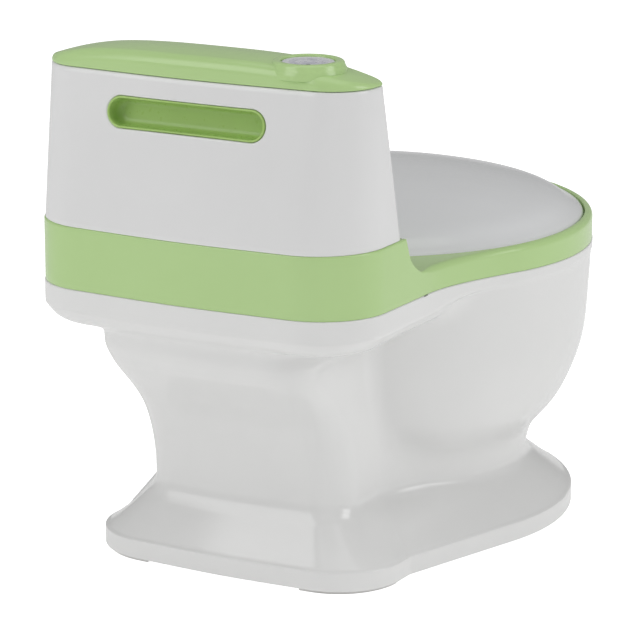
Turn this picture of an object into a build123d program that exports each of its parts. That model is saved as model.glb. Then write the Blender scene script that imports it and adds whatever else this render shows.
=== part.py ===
from build123d import *
from math import atan2, cos, degrees, radians, sin
import os

# A child's potty chair shaped like a small toilet: a hollow pedestal with a round bowl,
# a green seat frame, a tank with a sound button under its lid, a hinged seat lid and a
# lift-out pot.  Millimetres.  +Z is up, the front of the bowl faces -Y, X = 0 is the
# plane of symmetry, and the origin is on the floor under the middle of the object.

# ---- driving dimensions -------------------------------------------------------------
WALL = 3.0                 # wall of the moulded shells
PAD_HEIGHT = 2.0           # foot pads
BOWL_Y = -47.0             # axis of the bowl
RIM_RADIUS = 155.5         # outside of the seat rim
BACK_Y = 204.0             # rear face of the shelf and the seat frame
SEAM_Z = 191.5             # seam between base and seat frame, at Y = 0
SEAM_SLOPE = 0.0125        # the seam rises slightly towards the back
DECK_Z = 204.5             # recess that the seat lid closes on
RIM_TOP_Z = 209.0          # raised edge around that recess
PLATFORM_Z = 235.0         # top of the seat frame, under the tank
TANK_TOP_Z = 335.0
CROWN_Z = 351.0            # highest point of the tank lid
SIDE_X = 121.5             # half width of the seat frame beside the tank
CORNER_RADIUS = 46.0       # rear plan corners of frame and tank
REAR_CROWN = 0.045         # bow of the rear faces, as a share of their half width

PLINTH_RADIUS = 145.0      # round front of the plinth, about (0, PLINTH_Y)
PLINTH_Y = -45.0
PLINTH_WAIST_X = 109.0     # half width of the plinth behind the bowl
PLINTH_WAIST_Y = 94.0
PLINTH_BACK_Y = 155.5
PLINTH_TOP_Z = 15.0
PLINTH_BEVEL = 1.5         # the flare starts this far inside the plinth's wall
PLINTH_CORNER = 46.0
FLANGE_WIDTH = 22.0        # inward foot flange of the plinth

COLUMN_HALF = 74.5         # half width of the pedestal column
COLUMN_CORNER = 25.0
NECK_RADIUS = 110.5        # round front of the pedestal, under the bowl
CREASE_Z = 39.0            # where the flare of the plinth meets the pedestal
SHELF_Z = 168.0            # underside of the rear shelf
RIM_BELT_Z = 183.0         # the rim outline is full from here up
SHELF_EDGE = 17.0          # rounding of the shelf's lower edge
CORBEL_HALF = 78.0
CORBEL_BACK_Y = 188.5
CORBEL_Z = 149.0
CORBEL_CORNER = 32.0

TANK_HALF_BOTTOM = 120.3
TANK_HALF_TOP = 115.5
TANK_FRONT_BOTTOM = 125.0
TANK_FRONT_TOP = 140.5
TANK_BACK_BOTTOM = 203.6
TANK_BACK_TOP = 189.5
TANK_WALL = 2.8
TANK_FRONT_CORNER = 10.0
TANK_TOP_CORNER = 31.0     # rear corners narrow to this at the top

SLOT_Z = 311.2             # hand grip slot in the back of the tank
SLOT_HALF = 57.0
SLOT_HEIGHT = 20.5
GRIP_DEPTH = 15.0

LID_WALL = 3.0
LID_RADIUS = 148.8         # seat lid
LID_EDGE_Z = 205.0
LID_DOME_Z = 235.5
HINGE_Y = 108.0
HINGE_Z = 213.0
HINGE_X = 46.0             # middle of each knuckle
KNUCKLE_LENGTH = 16.0
KNUCKLE_RADIUS = 5.0
EAR_THICKNESS = 5.0
EAR_GAP = 0.5
PIN_RADIUS = 2.0
PIN_CLEARANCE = 0.05

POT_Y = -52.0              # middle of the oval seat opening
OPENING_X = 76.0           # half axes of the opening, at its narrow lower part
OPENING_Y = 92.0
LEDGE_WIDTH = 8.0          # the pot's flange rests on this ledge
LEDGE_Z = 199.0
POT_FLANGE = 3.0
POT_FLOOR_Z = 96.0
POT_WALL = 2.4

BUTTON_X = -73.0
BUTTON_Y = 165.0
BUTTON_RADIUS = 16.6
BUTTON_TOP_Z = 349.4
BUTTON_TRAVEL = 2.5
BUTTON_LIP_Z = 340.2       # retaining lip, under the ring of the lid
RING_RADIUS = 23.0
RING_BORE = 17.0
RING_TOP_Z = 350.6
RING_FOOT_Z = 342.0

CASE_X0, CASE_X1 = -103.0, -8.0       # sound unit hung under the tank lid
CASE_Y0, CASE_Y1 = 146.8, 175.2
CASE_Z0, CASE_Z1 = 311.0, 335.0
CASE_WALL = 1.8
COVER_TOP_Z = 336.8
CASE_POSTS = [(x, y) for x in (-98.5, -12.0) for y in (151.0, 171.0)]
BOARD_Z = 328.8
BOARD_THICKNESS = 1.6
SWITCH_TOP_Z = 334.5
BATTERY_RADIUS = 5.25
BATTERY_X0, BATTERY_X1 = -80.0, -36.0
BATTERY_Z = 318.6
BATTERY_PITCH = 12.4
CASE_MID_Y = (CASE_Y0 + CASE_Y1) / 2
DOOR_SCREW = (-86.5, CASE_MID_Y)
SPEAKER = (-21.0, CASE_MID_Y)
SPEAKER_RADIUS = 10.0

SCREW_SHANK = 1.5
SCREW_HEAD = 3.2
FRAME_SCREWS = [(side * x, y) for side in (-1, 1) for x, y in ((104, 108), (96, 164))]
TANK_SCREWS = [(side * 92, y) for side in (-1, 1) for y in (144, 178)]

SEAM = Plane(origin=(0, 0, SEAM_Z), z_dir=(0, -SEAM_SLOPE, 1))

os.makedirs("parts", exist_ok=True)


def export(part, name):
    """Label one finished piece and write it as its own STEP file."""
    part.label = name
    export_step(part, f"parts/{name}.step")


def slab(x0, x1, y0, y1, z0, z1):
    """A plain block given by its limits."""
    with BuildPart() as block:
        with Locations(((x0 + x1) / 2, (y0 + y1) / 2, (z0 + z1) / 2)):
            Box(x1 - x0, y1 - y0, z1 - z0)
    return block.part


def rods(places, radius, z0, z1):
    """Upright round rods of one size at several places."""
    with BuildPart() as bundle:
        with BuildSketch(Plane.XY.offset(z0)):
            with Locations(*places):
                Circle(radius)
        extrude(amount=z1 - z0)
    return bundle.part


def cross_rod(x0, x1, y, z, radius):
    """A round rod along X."""
    with BuildPart() as rod:
        with BuildSketch(Plane.YZ.offset(x0)):
            with Locations((y, z)):
                Circle(radius)
        extrude(amount=x1 - x0)
    return rod.part


def screws(places, head_z, head_height, length, radius=SCREW_SHANK, head=SCREW_HEAD):
    """Pan head screws pointing up: the head's underside is at head_z."""
    with BuildPart() as group:
        add(rods(places, head, head_z, head_z + head_height))
        lower = group.edges().filter_by(GeomType.CIRCLE).group_by(Axis.Z)[0]
        fillet(lower, head_height * 0.4)
        add(rods(places, radius, head_z + head_height, head_z + head_height + length))
    return group.part


# ---- plan outlines, each one closed and symmetrical about X = 0 ----------------------
def rear_half(start_x, rear_y, corner, start):
    """Side, rear corner and bowed rear edge, from the line end `start` to X = 0."""
    turn = 87.0
    crown = REAR_CROWN * (start_x - corner)
    corner_y = rear_y - crown - corner * sin(radians(turn))
    side = Line(start, (start_x, corner_y))
    bend = JernArc(start=side @ 1, tangent=side % 1, radius=corner, arc_size=turn)
    rear = Spline(bend @ 1, (0, rear_y), tangents=(bend % 1, (-1, 0)))
    return [side, bend, rear]


def rim_outline(inset=0.0):
    """Seat frame and shelf: the round rim, flaring in to the width of the tank."""
    flare_start = 23.5
    half = SIDE_X - inset
    with BuildSketch() as outline:
        with BuildLine():
            front = CenterArc((0, BOWL_Y), RIM_RADIUS - inset, -90, 90 + flare_start)
            flare = Spline(
                front @ 1,
                (half + 12, 38),
                (half + 5, 60),
                (half, 92),
                tangents=(front % 1, (0, 1)),
            )
            add(rear_half(half, BACK_Y - inset, CORNER_RADIUS - inset, flare @ 1))
            mirror(about=Plane.YZ)
        make_face()
    return outline.sketch


def plinth_outline(inset=0.0):
    """Foot of the pedestal: round in front, straight sides, square rear corners."""
    tangent_angle = 17.5
    half = PLINTH_WAIST_X - inset
    with BuildSketch() as outline:
        with BuildLine():
            front = CenterArc((0, PLINTH_Y), PLINTH_RADIUS - inset, -90, 90 + tangent_angle)
            side = Line(front @ 1, (half, PLINTH_WAIST_Y))
            add(rear_half(half, PLINTH_BACK_Y - inset, PLINTH_CORNER - inset, side @ 1))
            mirror(about=Plane.YZ)
        make_face()
    return outline.sketch


def pedestal_outline(back_y, inset=0.0, spread=0.0):
    """Keyhole section of the pedestal: round neck in front, narrow column behind."""
    neck_angle = 16.0
    half = COLUMN_HALF + spread - inset
    with BuildSketch() as outline:
        with BuildLine():
            front = CenterArc((0, BOWL_Y), NECK_RADIUS - inset, -90, 90 + neck_angle)
            web = Spline(front @ 1, (half + 9.5, 42), (half, 78), tangents=(front % 1, (0, 1)))
            add(rear_half(half, back_y - inset, COLUMN_CORNER - inset, web @ 1))
            mirror(about=Plane.YZ)
        make_face()
    return outline.sketch


def tank_outline(half, front_y, back_y, inset=0.0, rear_corner=CORNER_RADIUS):
    """Rounded oblong of the tank, its rear edge slightly bowed."""
    corner = TANK_FRONT_CORNER - inset
    edge = half - inset
    with BuildSketch() as outline:
        with BuildLine():
            front = Line((0, front_y + inset), (edge - corner, front_y + inset))
            bend = JernArc(start=front @ 1, tangent=front % 1, radius=corner, arc_size=90)
            add(rear_half(edge, back_y - inset, rear_corner - inset, bend @ 1))
            mirror(about=Plane.YZ)
        make_face()
    return outline.sketch


def tank_section(z, inset=0.0):
    """Tank outline at height z, between its bottom and top sections."""
    share = (z - PLATFORM_Z) / (TANK_TOP_Z - PLATFORM_Z)
    half = TANK_HALF_BOTTOM + share * (TANK_HALF_TOP - TANK_HALF_BOTTOM)
    front = TANK_FRONT_BOTTOM + share * (TANK_FRONT_TOP - TANK_FRONT_BOTTOM)
    back = TANK_BACK_BOTTOM + share * (TANK_BACK_TOP - TANK_BACK_BOTTOM)
    corner = CORNER_RADIUS + share * (TANK_TOP_CORNER - CORNER_RADIUS)
    return tank_outline(half, front, back, inset, corner)


def oval(grow=0.0):
    """The oval of the seat opening, grown outwards by `grow`."""
    with BuildSketch() as outline:
        with Locations((0, POT_Y)):
            Ellipse(OPENING_X + grow, OPENING_Y + grow)
    return outline.sketch


# ---- solids of the base, built once for the outside and once, smaller, for the hollow
# Height and rear face of the column, an ogee that sweeps back from foot to corbel.
COLUMN_SECTIONS = ((CREASE_Z, 131.5), (54, 130), (72, 131.8), (88, 136.5), (104, 144.5),
                   (120, 158), (136, 175), (150, 186), (170, 187))

# Radius and height along the bowl, from just inside the neck to the seam.
BOWL_PROFILE = ((NECK_RADIUS - 2.5, 42), (116, 60), (132, 80), (142.6, 100), (150.3, 125),
                (152.8, 150), (154.2, 175), (155.2, 196))


def base_form(inset):
    """Plinth, flare, pedestal, bowl, corbel and shelf, all drawn in by `inset`."""
    drop = inset / 2
    crease_y = COLUMN_SECTIONS[0][1]
    with BuildPart() as form:
        with BuildSketch(Plane.XY.offset(PAD_HEIGHT + inset)):
            add(plinth_outline(inset))
        extrude(amount=PLINTH_TOP_Z - PAD_HEIGHT - inset - drop)

        with BuildSketch(Plane.XY.offset(PLINTH_TOP_Z - drop)):
            add(plinth_outline(inset + PLINTH_BEVEL))
        with BuildSketch(Plane.XY.offset(CREASE_Z - drop)):
            add(pedestal_outline(crease_y + 3, inset, spread=5))
        loft(ruled=True)

        for z, back_y in COLUMN_SECTIONS:
            with BuildSketch(Plane.XY.offset(z - drop)):
                add(pedestal_outline(back_y, inset))
        loft()

        with BuildSketch(Plane.YZ):
            with BuildLine():
                rim = [(BOWL_Y + radius - inset, z) for radius, z in BOWL_PROFILE]
                curve = Spline(*rim)
                Polyline(curve @ 1, (BOWL_Y, rim[-1][1]), (BOWL_Y, rim[0][1]), curve @ 0)
            make_face()
        revolve(axis=Axis((0, BOWL_Y, 0), (0, 0, 1)))

        with BuildSketch(Plane.XY.offset(RIM_BELT_Z + inset)):
            add(rim_outline(inset))
        extrude(amount=20)
    return form.part


def block_form(half, back_y, corner, low_z, high_z, edge, inset):
    """A block behind the bowl with its lower rear and side edges rounded."""
    with BuildPart() as block:
        with BuildSketch(Plane.XY.offset(low_z + inset)):
            add(tank_outline(half, 20, back_y, inset, corner))
        extrude(amount=high_z - low_z)
        lower = block.edges().group_by(Axis.Z)[0]
        fillet(lower.filter_by(lambda e: e.center().Y > 25 + inset), edge - inset)
    return block.part


def base_solid(inset):
    """The whole outer form of the base, or its hollow when `inset` is the wall."""
    with BuildPart() as solid:
        add(base_form(inset))
        add(block_form(SIDE_X, BACK_Y, CORNER_RADIUS, SHELF_Z, 200, SHELF_EDGE, inset))
        add(block_form(CORBEL_HALF, CORBEL_BACK_Y, CORBEL_CORNER, CORBEL_Z, SHELF_Z + 6, 9, inset))
    return solid.part


# ---- base shell ---------------------------------------------------------------------
with BuildPart() as base_shell:
    add(base_solid(0))
    add(base_solid(WALL), mode=Mode.SUBTRACT)
    with BuildSketch(Plane.XY.offset(PAD_HEIGHT)):
        add(plinth_outline(FLANGE_WIDTH))
    extrude(amount=2 * WALL, mode=Mode.SUBTRACT)
    with BuildSketch(Plane.XY.offset(SHELF_Z + 1)):
        with Locations(*FRAME_SCREWS):
            Circle(4.5)
    extrude(amount=31)
    with BuildSketch(Plane.XY.offset(SHELF_Z - 1)):
        with Locations(*FRAME_SCREWS):
            Circle(SCREW_SHANK + 0.2)
    extrude(amount=40, mode=Mode.SUBTRACT)
    with BuildSketch(Plane.XY.offset(SHELF_Z - 1)):
        with Locations(*FRAME_SCREWS):
            Circle(SCREW_HEAD + 0.3)
    extrude(amount=4, mode=Mode.SUBTRACT)
    split(bisect_by=SEAM, keep=Keep.BOTTOM)
export(base_shell.part, "base_shell")

# ---- foot pads ----------------------------------------------------------------------
PAD_INSET, PAD_WIDTH = 3.0, 16.0
PAD_PLACES = {
    "foot_rear_left": (100, 150, 85, 86),
    "foot_rear_right": (-100, 150, 85, 86),
    "foot_front_left": (105, -135, 90, 100),
    "foot_front_right": (-105, -135, 90, 100),
}
for pad_name, (x, y, width, depth) in PAD_PLACES.items():
    with BuildPart() as foot:
        with BuildSketch():
            add(plinth_outline(PAD_INSET))
            add(plinth_outline(PAD_INSET + PAD_WIDTH), mode=Mode.SUBTRACT)
            with Locations((x, y)):
                Rectangle(width, depth, mode=Mode.INTERSECT)
        extrude(amount=PAD_HEIGHT)
    export(foot.part, pad_name)

# ---- seat frame ---------------------------------------------------------------------
SKIRT_LOW_Z = 180.0                   # drawn from here, then cut off at the seam
COVE = ((125, PLATFORM_Z), (122, 226), (117.5, 218.5), (110, 212.5), (102, RIM_TOP_Z))


def platform_form(inset):
    """Raised rear part under the tank, with a cove in front, drawn in by `inset`."""
    with BuildPart() as form:
        with BuildSketch(Plane.XY.offset(SKIRT_LOW_Z)):
            add(rim_outline(inset))
        extrude(amount=PLATFORM_Z - inset - SKIRT_LOW_Z)
        with BuildSketch(Plane.YZ):
            with BuildLine():
                cove = Spline(*[(y + inset, z - inset) for y, z in COVE])
                Polyline(
                    cove @ 1,
                    (COVE[-1][0] + inset, SKIRT_LOW_Z),
                    (BACK_Y + WALL, SKIRT_LOW_Z),
                    (BACK_Y + WALL, PLATFORM_Z - inset),
                    cove @ 0,
                )
            make_face()
        extrude(amount=SIDE_X + 10, both=True, mode=Mode.INTERSECT)
    return form.part


SLEEVE = 3.0
RECESS_RADIUS = LID_RADIUS + 1.0
EARS = [side * (HINGE_X + sign * (KNUCKLE_LENGTH + EAR_THICKNESS + 2 * EAR_GAP) / 2)
        for side in (-1, 1) for sign in (-1, 1)]
EAR_RADIUS = 6.0
# Radius and height of the padded-looking crown that a child sits on.
SEAT_CROWN = ((80, DECK_Z - 1), (86, 209), (100, 212.6), (116, 213), (131, 209),
              (143, DECK_Z - 1))

with BuildPart() as seat_frame:
    with BuildSketch(Plane.XY.offset(SKIRT_LOW_Z)):
        add(rim_outline())
    extrude(amount=RIM_TOP_Z - SKIRT_LOW_Z)
    fillet(seat_frame.edges().group_by(Axis.Z)[-1], 4.0)
    add(platform_form(0))

    with BuildSketch(Plane.XY.offset(DECK_Z)):
        with Locations((0, BOWL_Y)):
            Circle(RECESS_RADIUS)
    extrude(amount=5, mode=Mode.SUBTRACT)
    with BuildSketch(Plane.YZ):
        with BuildLine():
            crown = Spline(*[(BOWL_Y + radius, z) for radius, z in SEAT_CROWN])
            Line(crown @ 1, crown @ 0)
        make_face()
    revolve(axis=Axis((0, BOWL_Y, 0), (0, 0, 1)))

    with BuildSketch(Plane.XY.offset(SKIRT_LOW_Z)):
        add(rim_outline(WALL))
        add(oval(SLEEVE), mode=Mode.SUBTRACT)
    extrude(amount=LEDGE_Z - WALL - SKIRT_LOW_Z, mode=Mode.SUBTRACT)
    with BuildSketch(Plane.XY.offset(LEDGE_Z - WALL)):
        add(rim_outline(WALL))
        add(oval(LEDGE_WIDTH + SLEEVE), mode=Mode.SUBTRACT)
    extrude(amount=DECK_Z - LEDGE_Z, mode=Mode.SUBTRACT)
    add(platform_form(WALL), mode=Mode.SUBTRACT)
    with BuildSketch(Plane.XY.offset(SKIRT_LOW_Z)):
        add(oval())
    extrude(amount=60, mode=Mode.SUBTRACT)
    with BuildSketch(Plane.XY.offset(LEDGE_Z)):
        add(oval(LEDGE_WIDTH))
    extrude(amount=30, mode=Mode.SUBTRACT)

    for ear_x in EARS:
        add(cross_rod(ear_x - EAR_THICKNESS / 2, ear_x + EAR_THICKNESS / 2,
                      HINGE_Y, HINGE_Z, EAR_RADIUS))
        add(slab(ear_x - EAR_THICKNESS / 2, ear_x + EAR_THICKNESS / 2,
                 HINGE_Y - EAR_RADIUS, HINGE_Y + EAR_RADIUS, DECK_Z, HINGE_Z))
    for side in (-1, 1):
        pocket = KNUCKLE_LENGTH / 2 + EAR_GAP
        add(cross_rod(side * HINGE_X - pocket, side * HINGE_X + pocket,
                      HINGE_Y, HINGE_Z, KNUCKLE_RADIUS + 0.8), mode=Mode.SUBTRACT)
        add(cross_rod(side * HINGE_X - 20, side * HINGE_X + 20,
                      HINGE_Y, HINGE_Z, PIN_RADIUS), mode=Mode.SUBTRACT)

    add(rods([place for place in FRAME_SCREWS if place[1] > 150], 4.5, 185, PLATFORM_Z - 1))
    add(rods([place for place in FRAME_SCREWS if place[1] < 150], 4.5, 185, 205))
    add(rods(FRAME_SCREWS, SCREW_SHANK, SKIRT_LOW_Z, 203.5), mode=Mode.SUBTRACT)
    add(rods(TANK_SCREWS, SCREW_SHANK + 0.2, PLATFORM_Z - 5, PLATFORM_Z + 1),
        mode=Mode.SUBTRACT)
    split(bisect_by=SEAM, keep=Keep.TOP)
export(seat_frame.part, "seat_frame")

# ---- tank ---------------------------------------------------------------------------
back_lean = degrees(atan2(TANK_BACK_BOTTOM - TANK_BACK_TOP, TANK_TOP_Z - PLATFORM_Z))
slot_share = (SLOT_Z - PLATFORM_Z) / (TANK_TOP_Z - PLATFORM_Z)
slot_y = TANK_BACK_BOTTOM + slot_share * (TANK_BACK_TOP - TANK_BACK_BOTTOM)
slot_normal = (0, cos(radians(back_lean)), sin(radians(back_lean)))
slot_plane = Plane(origin=(0, slot_y, SLOT_Z), x_dir=(-1, 0, 0), z_dir=slot_normal)

with BuildPart() as tank_shell:
    for z in (PLATFORM_Z, TANK_TOP_Z):
        with BuildSketch(Plane.XY.offset(z)):
            add(tank_section(z))
    loft()
    for z in (PLATFORM_Z + TANK_WALL, TANK_TOP_Z + 1):
        with BuildSketch(Plane.XY.offset(z)):
            add(tank_section(z, TANK_WALL))
    loft(mode=Mode.SUBTRACT)
    with BuildSketch(slot_plane):
        SlotOverall(2 * SLOT_HALF, SLOT_HEIGHT)
    extrude(amount=12, both=True, mode=Mode.SUBTRACT)
    add(rods(TANK_SCREWS, 4.0, PLATFORM_Z + 1, PLATFORM_Z + 12))
    add(rods(TANK_SCREWS, SCREW_SHANK, PLATFORM_Z - 1, PLATFORM_Z + 10), mode=Mode.SUBTRACT)
export(tank_shell.part, "tank_shell")

GRIP_GAP, GRIP_WALL, GRIP_FLANGE = 0.2, 1.6, 4.0
grip_front = 2.2                      # kept inside the bowed wall at the ends of the slot
flange_depth = TANK_WALL + grip_front
with BuildPart() as grip_insert:
    with BuildSketch(slot_plane.offset(-GRIP_DEPTH)):
        SlotOverall(2 * (SLOT_HALF - GRIP_GAP), SLOT_HEIGHT - 2 * GRIP_GAP)
    extrude(amount=GRIP_DEPTH - grip_front)
    fillet(grip_insert.faces().sort_by(Axis.Y)[0].edges(), 3.0)
    with BuildSketch(slot_plane.offset(-flange_depth - 1.6)):
        SlotOverall(2 * (SLOT_HALF + GRIP_FLANGE), SLOT_HEIGHT + 2 * GRIP_FLANGE)
    extrude(amount=1.6)
    with BuildSketch(slot_plane.offset(-GRIP_DEPTH + GRIP_WALL)):
        SlotOverall(2 * (SLOT_HALF - GRIP_WALL), SLOT_HEIGHT - 2 * GRIP_WALL)
    extrude(amount=GRIP_DEPTH, mode=Mode.SUBTRACT)
export(grip_insert.part, "grip_insert")

# ---- screws of the base body --------------------------------------------------------
with BuildPart() as frame_screws:
    add(screws(FRAME_SCREWS, SHELF_Z + 0.4, 2.6, 30))
export(frame_screws.part, "frame_screws")

with BuildPart() as tank_screws:
    add(screws(TANK_SCREWS, PLATFORM_Z - WALL - 2.2, 2.2, 12))
export(tank_screws.part, "tank_screws")

# ---- seat lid and its hinge pins ----------------------------------------------------
# Radius and height along the dome of the seat lid, from the middle to its rolled edge.
DOME = ((0, LID_DOME_Z), (60, LID_DOME_Z - 2.5), (95, LID_DOME_Z - 7.4),
        (118, LID_DOME_Z - 12.5), (136, LID_DOME_Z - 18.8), (145, LID_DOME_Z - 24.4))


def dome_form(inset):
    """The shallow dome of the seat lid with its rolled edge, drawn in by `inset`."""
    low_z = LID_EDGE_Z - inset / 3
    edge = LID_RADIUS - inset
    with BuildPart() as form:
        with BuildSketch(Plane.YZ):
            with BuildLine():
                top = Spline(
                    *[(BOWL_Y + radius * edge / LID_RADIUS, z - inset) for radius, z in DOME],
                    (BOWL_Y + edge, LID_EDGE_Z + 1.6 - inset / 3),
                    tangents=((1, 0), (0, -1)),
                )
                Polyline(top @ 1, (BOWL_Y + edge, low_z), (BOWL_Y, low_z), top @ 0)
            make_face()
        revolve(axis=Axis((0, BOWL_Y, 0), (0, 0, 1)))
    return form.part


with BuildPart() as toilet_lid:
    add(dome_form(0))
    add(dome_form(LID_WALL), mode=Mode.SUBTRACT)
    for side in (-1, 1):
        knuckle = KNUCKLE_LENGTH / 2
        add(cross_rod(side * HINGE_X - knuckle, side * HINGE_X + knuckle,
                      HINGE_Y, HINGE_Z, KNUCKLE_RADIUS))
        add(slab(side * HINGE_X - knuckle, side * HINGE_X + knuckle,
                 90, HINGE_Y, RIM_TOP_Z + 0.6, HINGE_Z + 1.5))
        add(cross_rod(side * HINGE_X - knuckle, side * HINGE_X + knuckle,
                      HINGE_Y, HINGE_Z, PIN_RADIUS + PIN_CLEARANCE), mode=Mode.SUBTRACT)
export(toilet_lid.part, "toilet_lid")

pin_reach = KNUCKLE_LENGTH / 2 + EAR_GAP + EAR_THICKNESS
for side, pin_name in ((1, "hinge_pin_left"), (-1, "hinge_pin_right")):
    with BuildPart() as hinge_pin:
        add(cross_rod(side * HINGE_X - pin_reach, side * HINGE_X + pin_reach,
                      HINGE_Y, HINGE_Z, PIN_RADIUS))
    export(hinge_pin.part, pin_name)

# ---- lift-out pot -------------------------------------------------------------------
# Height of each oval section of the pot, and how far it is drawn in from the opening.
POT_SECTIONS = ((LEDGE_Z, 1.2), (165, 4), (130, 9), (108, 16), (POT_FLOOR_Z, 27))
POT_LIFT = 0.3                        # the flange is drawn this much above its ledge

with BuildPart() as potty_pot:
    for z, draw in POT_SECTIONS:
        with BuildSketch(Plane.XY.offset(z + POT_LIFT)):
            add(oval(-draw))
    loft()
    with BuildSketch(Plane.XY.offset(LEDGE_Z + POT_LIFT)):
        add(oval(LEDGE_WIDTH - 1.2))
    extrude(amount=POT_FLANGE)
    for z, draw in POT_SECTIONS:
        floor = POT_WALL if z < LEDGE_Z else POT_FLANGE + 1
        with BuildSketch(Plane.XY.offset(z + POT_LIFT + floor)):
            add(oval(-draw - POT_WALL))
    loft(mode=Mode.SUBTRACT)
export(potty_pot.part, "potty_pot")

# ---- tank lid -----------------------------------------------------------------------
LID_GAP = 0.4
LIP_DEPTH = 4.0
# Half width and height of the crown from end to end of the lid.
CROWN = ((0, CROWN_Z), (57.5, 349.8), (84, 346.8), (103, 342), (122, 335.5))
CROWN_DROP = 6.5                      # the lid also falls away to front and back
tank_mid_y = (TANK_FRONT_TOP + TANK_BACK_TOP) / 2


def crown_form(inset):
    """The pillow shape of the tank lid, drawn in by `inset`."""
    low_z = TANK_TOP_Z + LID_GAP - (1 if inset else 0)
    half_depth = 40
    with BuildPart() as form:
        with BuildSketch(Plane.XY.offset(low_z)):
            add(tank_section(TANK_TOP_Z, inset))
        extrude(amount=CROWN_Z - low_z + 5)
        with BuildSketch(Plane.XZ):
            with BuildLine():
                crest = Spline(*[(x, z - inset) for x, z in CROWN], tangents=((1, 0), (1, -0.35)))
                Polyline(crest @ 1, (CROWN[-1][0], 320), (0, 320))
                mirror(about=Plane.YZ)
            make_face()
        extrude(amount=300, both=True, mode=Mode.INTERSECT)
        with BuildSketch(Plane.YZ):
            with BuildLine():
                edge_z = CROWN_Z - CROWN_DROP - inset
                arc = ThreePointArc((tank_mid_y - half_depth, edge_z),
                                    (tank_mid_y, CROWN_Z - inset + 0.2),
                                    (tank_mid_y + half_depth, edge_z))
                Polyline(arc @ 1, (tank_mid_y + half_depth, 320),
                         (tank_mid_y - half_depth, 320), arc @ 0)
            make_face()
        extrude(amount=200, both=True, mode=Mode.INTERSECT)
    return form.part


with BuildPart() as ring:
    add(rods([(BUTTON_X, BUTTON_Y)], RING_RADIUS, RING_FOOT_Z, RING_TOP_Z))
    fillet(ring.edges().group_by(Axis.Z)[-1], 1.6)

with BuildPart() as posts:
    add(rods(CASE_POSTS, 3.5, COVER_TOP_Z, CROWN_Z))
    add(crown_form(0), mode=Mode.INTERSECT)

with BuildPart() as tank_lid:
    add(crown_form(0))
    add(crown_form(LID_WALL), mode=Mode.SUBTRACT)
    with BuildSketch(Plane.XY.offset(TANK_TOP_Z - LIP_DEPTH)):
        add(tank_section(TANK_TOP_Z, TANK_WALL + 0.7))
        add(tank_section(TANK_TOP_Z, TANK_WALL + 2.2), mode=Mode.SUBTRACT)
    extrude(amount=LIP_DEPTH + LID_GAP + 2)
    with BuildSketch(Plane.XY.offset(TANK_TOP_Z + LID_GAP)):
        add(tank_section(TANK_TOP_Z, LID_WALL - 1))
        add(tank_section(TANK_TOP_Z, TANK_WALL + 2.2), mode=Mode.SUBTRACT)
    extrude(amount=2)
    add(ring.part)
    add(rods([(BUTTON_X, BUTTON_Y)], RING_BORE, 330, 360), mode=Mode.SUBTRACT)
    add(posts.part)
    add(rods(CASE_POSTS, SCREW_SHANK, COVER_TOP_Z - 1, COVER_TOP_Z + 6), mode=Mode.SUBTRACT)
export(tank_lid.part, "tank_lid")

# ---- flush button and its spring ----------------------------------------------------
STEM_RADIUS = 3.0
stem_z = SWITCH_TOP_Z + BUTTON_TRAVEL + 0.05
skirt_radius = BUTTON_RADIUS - 2.0
button_place = [(BUTTON_X, BUTTON_Y)]
with BuildPart() as flush_button:
    add(rods(button_place, BUTTON_RADIUS, BUTTON_LIP_Z, BUTTON_TOP_Z))
    fillet(flush_button.edges().group_by(Axis.Z)[-1], 0.8)
    add(rods(button_place, BUTTON_RADIUS + 1.4, BUTTON_LIP_Z, BUTTON_LIP_Z + 1.5))
    add(rods(button_place, skirt_radius, BUTTON_LIP_Z, BUTTON_TOP_Z - 2.2), mode=Mode.SUBTRACT)
    add(rods(button_place, STEM_RADIUS, stem_z, BUTTON_TOP_Z - 1))
export(flush_button.part, "flush_button")

SPRING_RADIUS, SPRING_WIRE, SPRING_TURNS = 5.2, 0.4, 5
spring_low_z = COVER_TOP_Z + SPRING_WIRE + 0.05
spring_height = BUTTON_TOP_Z - 2.2 - SPRING_WIRE - 0.05 - spring_low_z
with BuildPart() as button_spring:
    with BuildLine():
        coil = Helix(
            pitch=spring_height / SPRING_TURNS,
            height=spring_height,
            radius=SPRING_RADIUS,
            center=(BUTTON_X, BUTTON_Y, spring_low_z),
        )
    with BuildSketch(Plane(origin=coil @ 0, z_dir=coil % 0)):
        Circle(SPRING_WIRE)
    sweep(path=coil, is_frenet=True)
export(button_spring.part, "button_spring")

# ---- sound unit ---------------------------------------------------------------------
BAY_TOP_Z = 325.0
bay_x0, bay_x1 = BATTERY_X0 - 2.6, BATTERY_X1 + 2.6
bay_half = BATTERY_PITCH / 2 + BATTERY_RADIUS + 0.5
door_shape = (slab(bay_x0 + 0.4, bay_x1 - 0.4, CASE_MID_Y - bay_half, CASE_MID_Y + bay_half,
                   CASE_Z0, CASE_Z0 + CASE_WALL),
              slab(-90, bay_x0 + 1, CASE_MID_Y - 5, CASE_MID_Y + 5,
                   CASE_Z0, CASE_Z0 + CASE_WALL))

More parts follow.
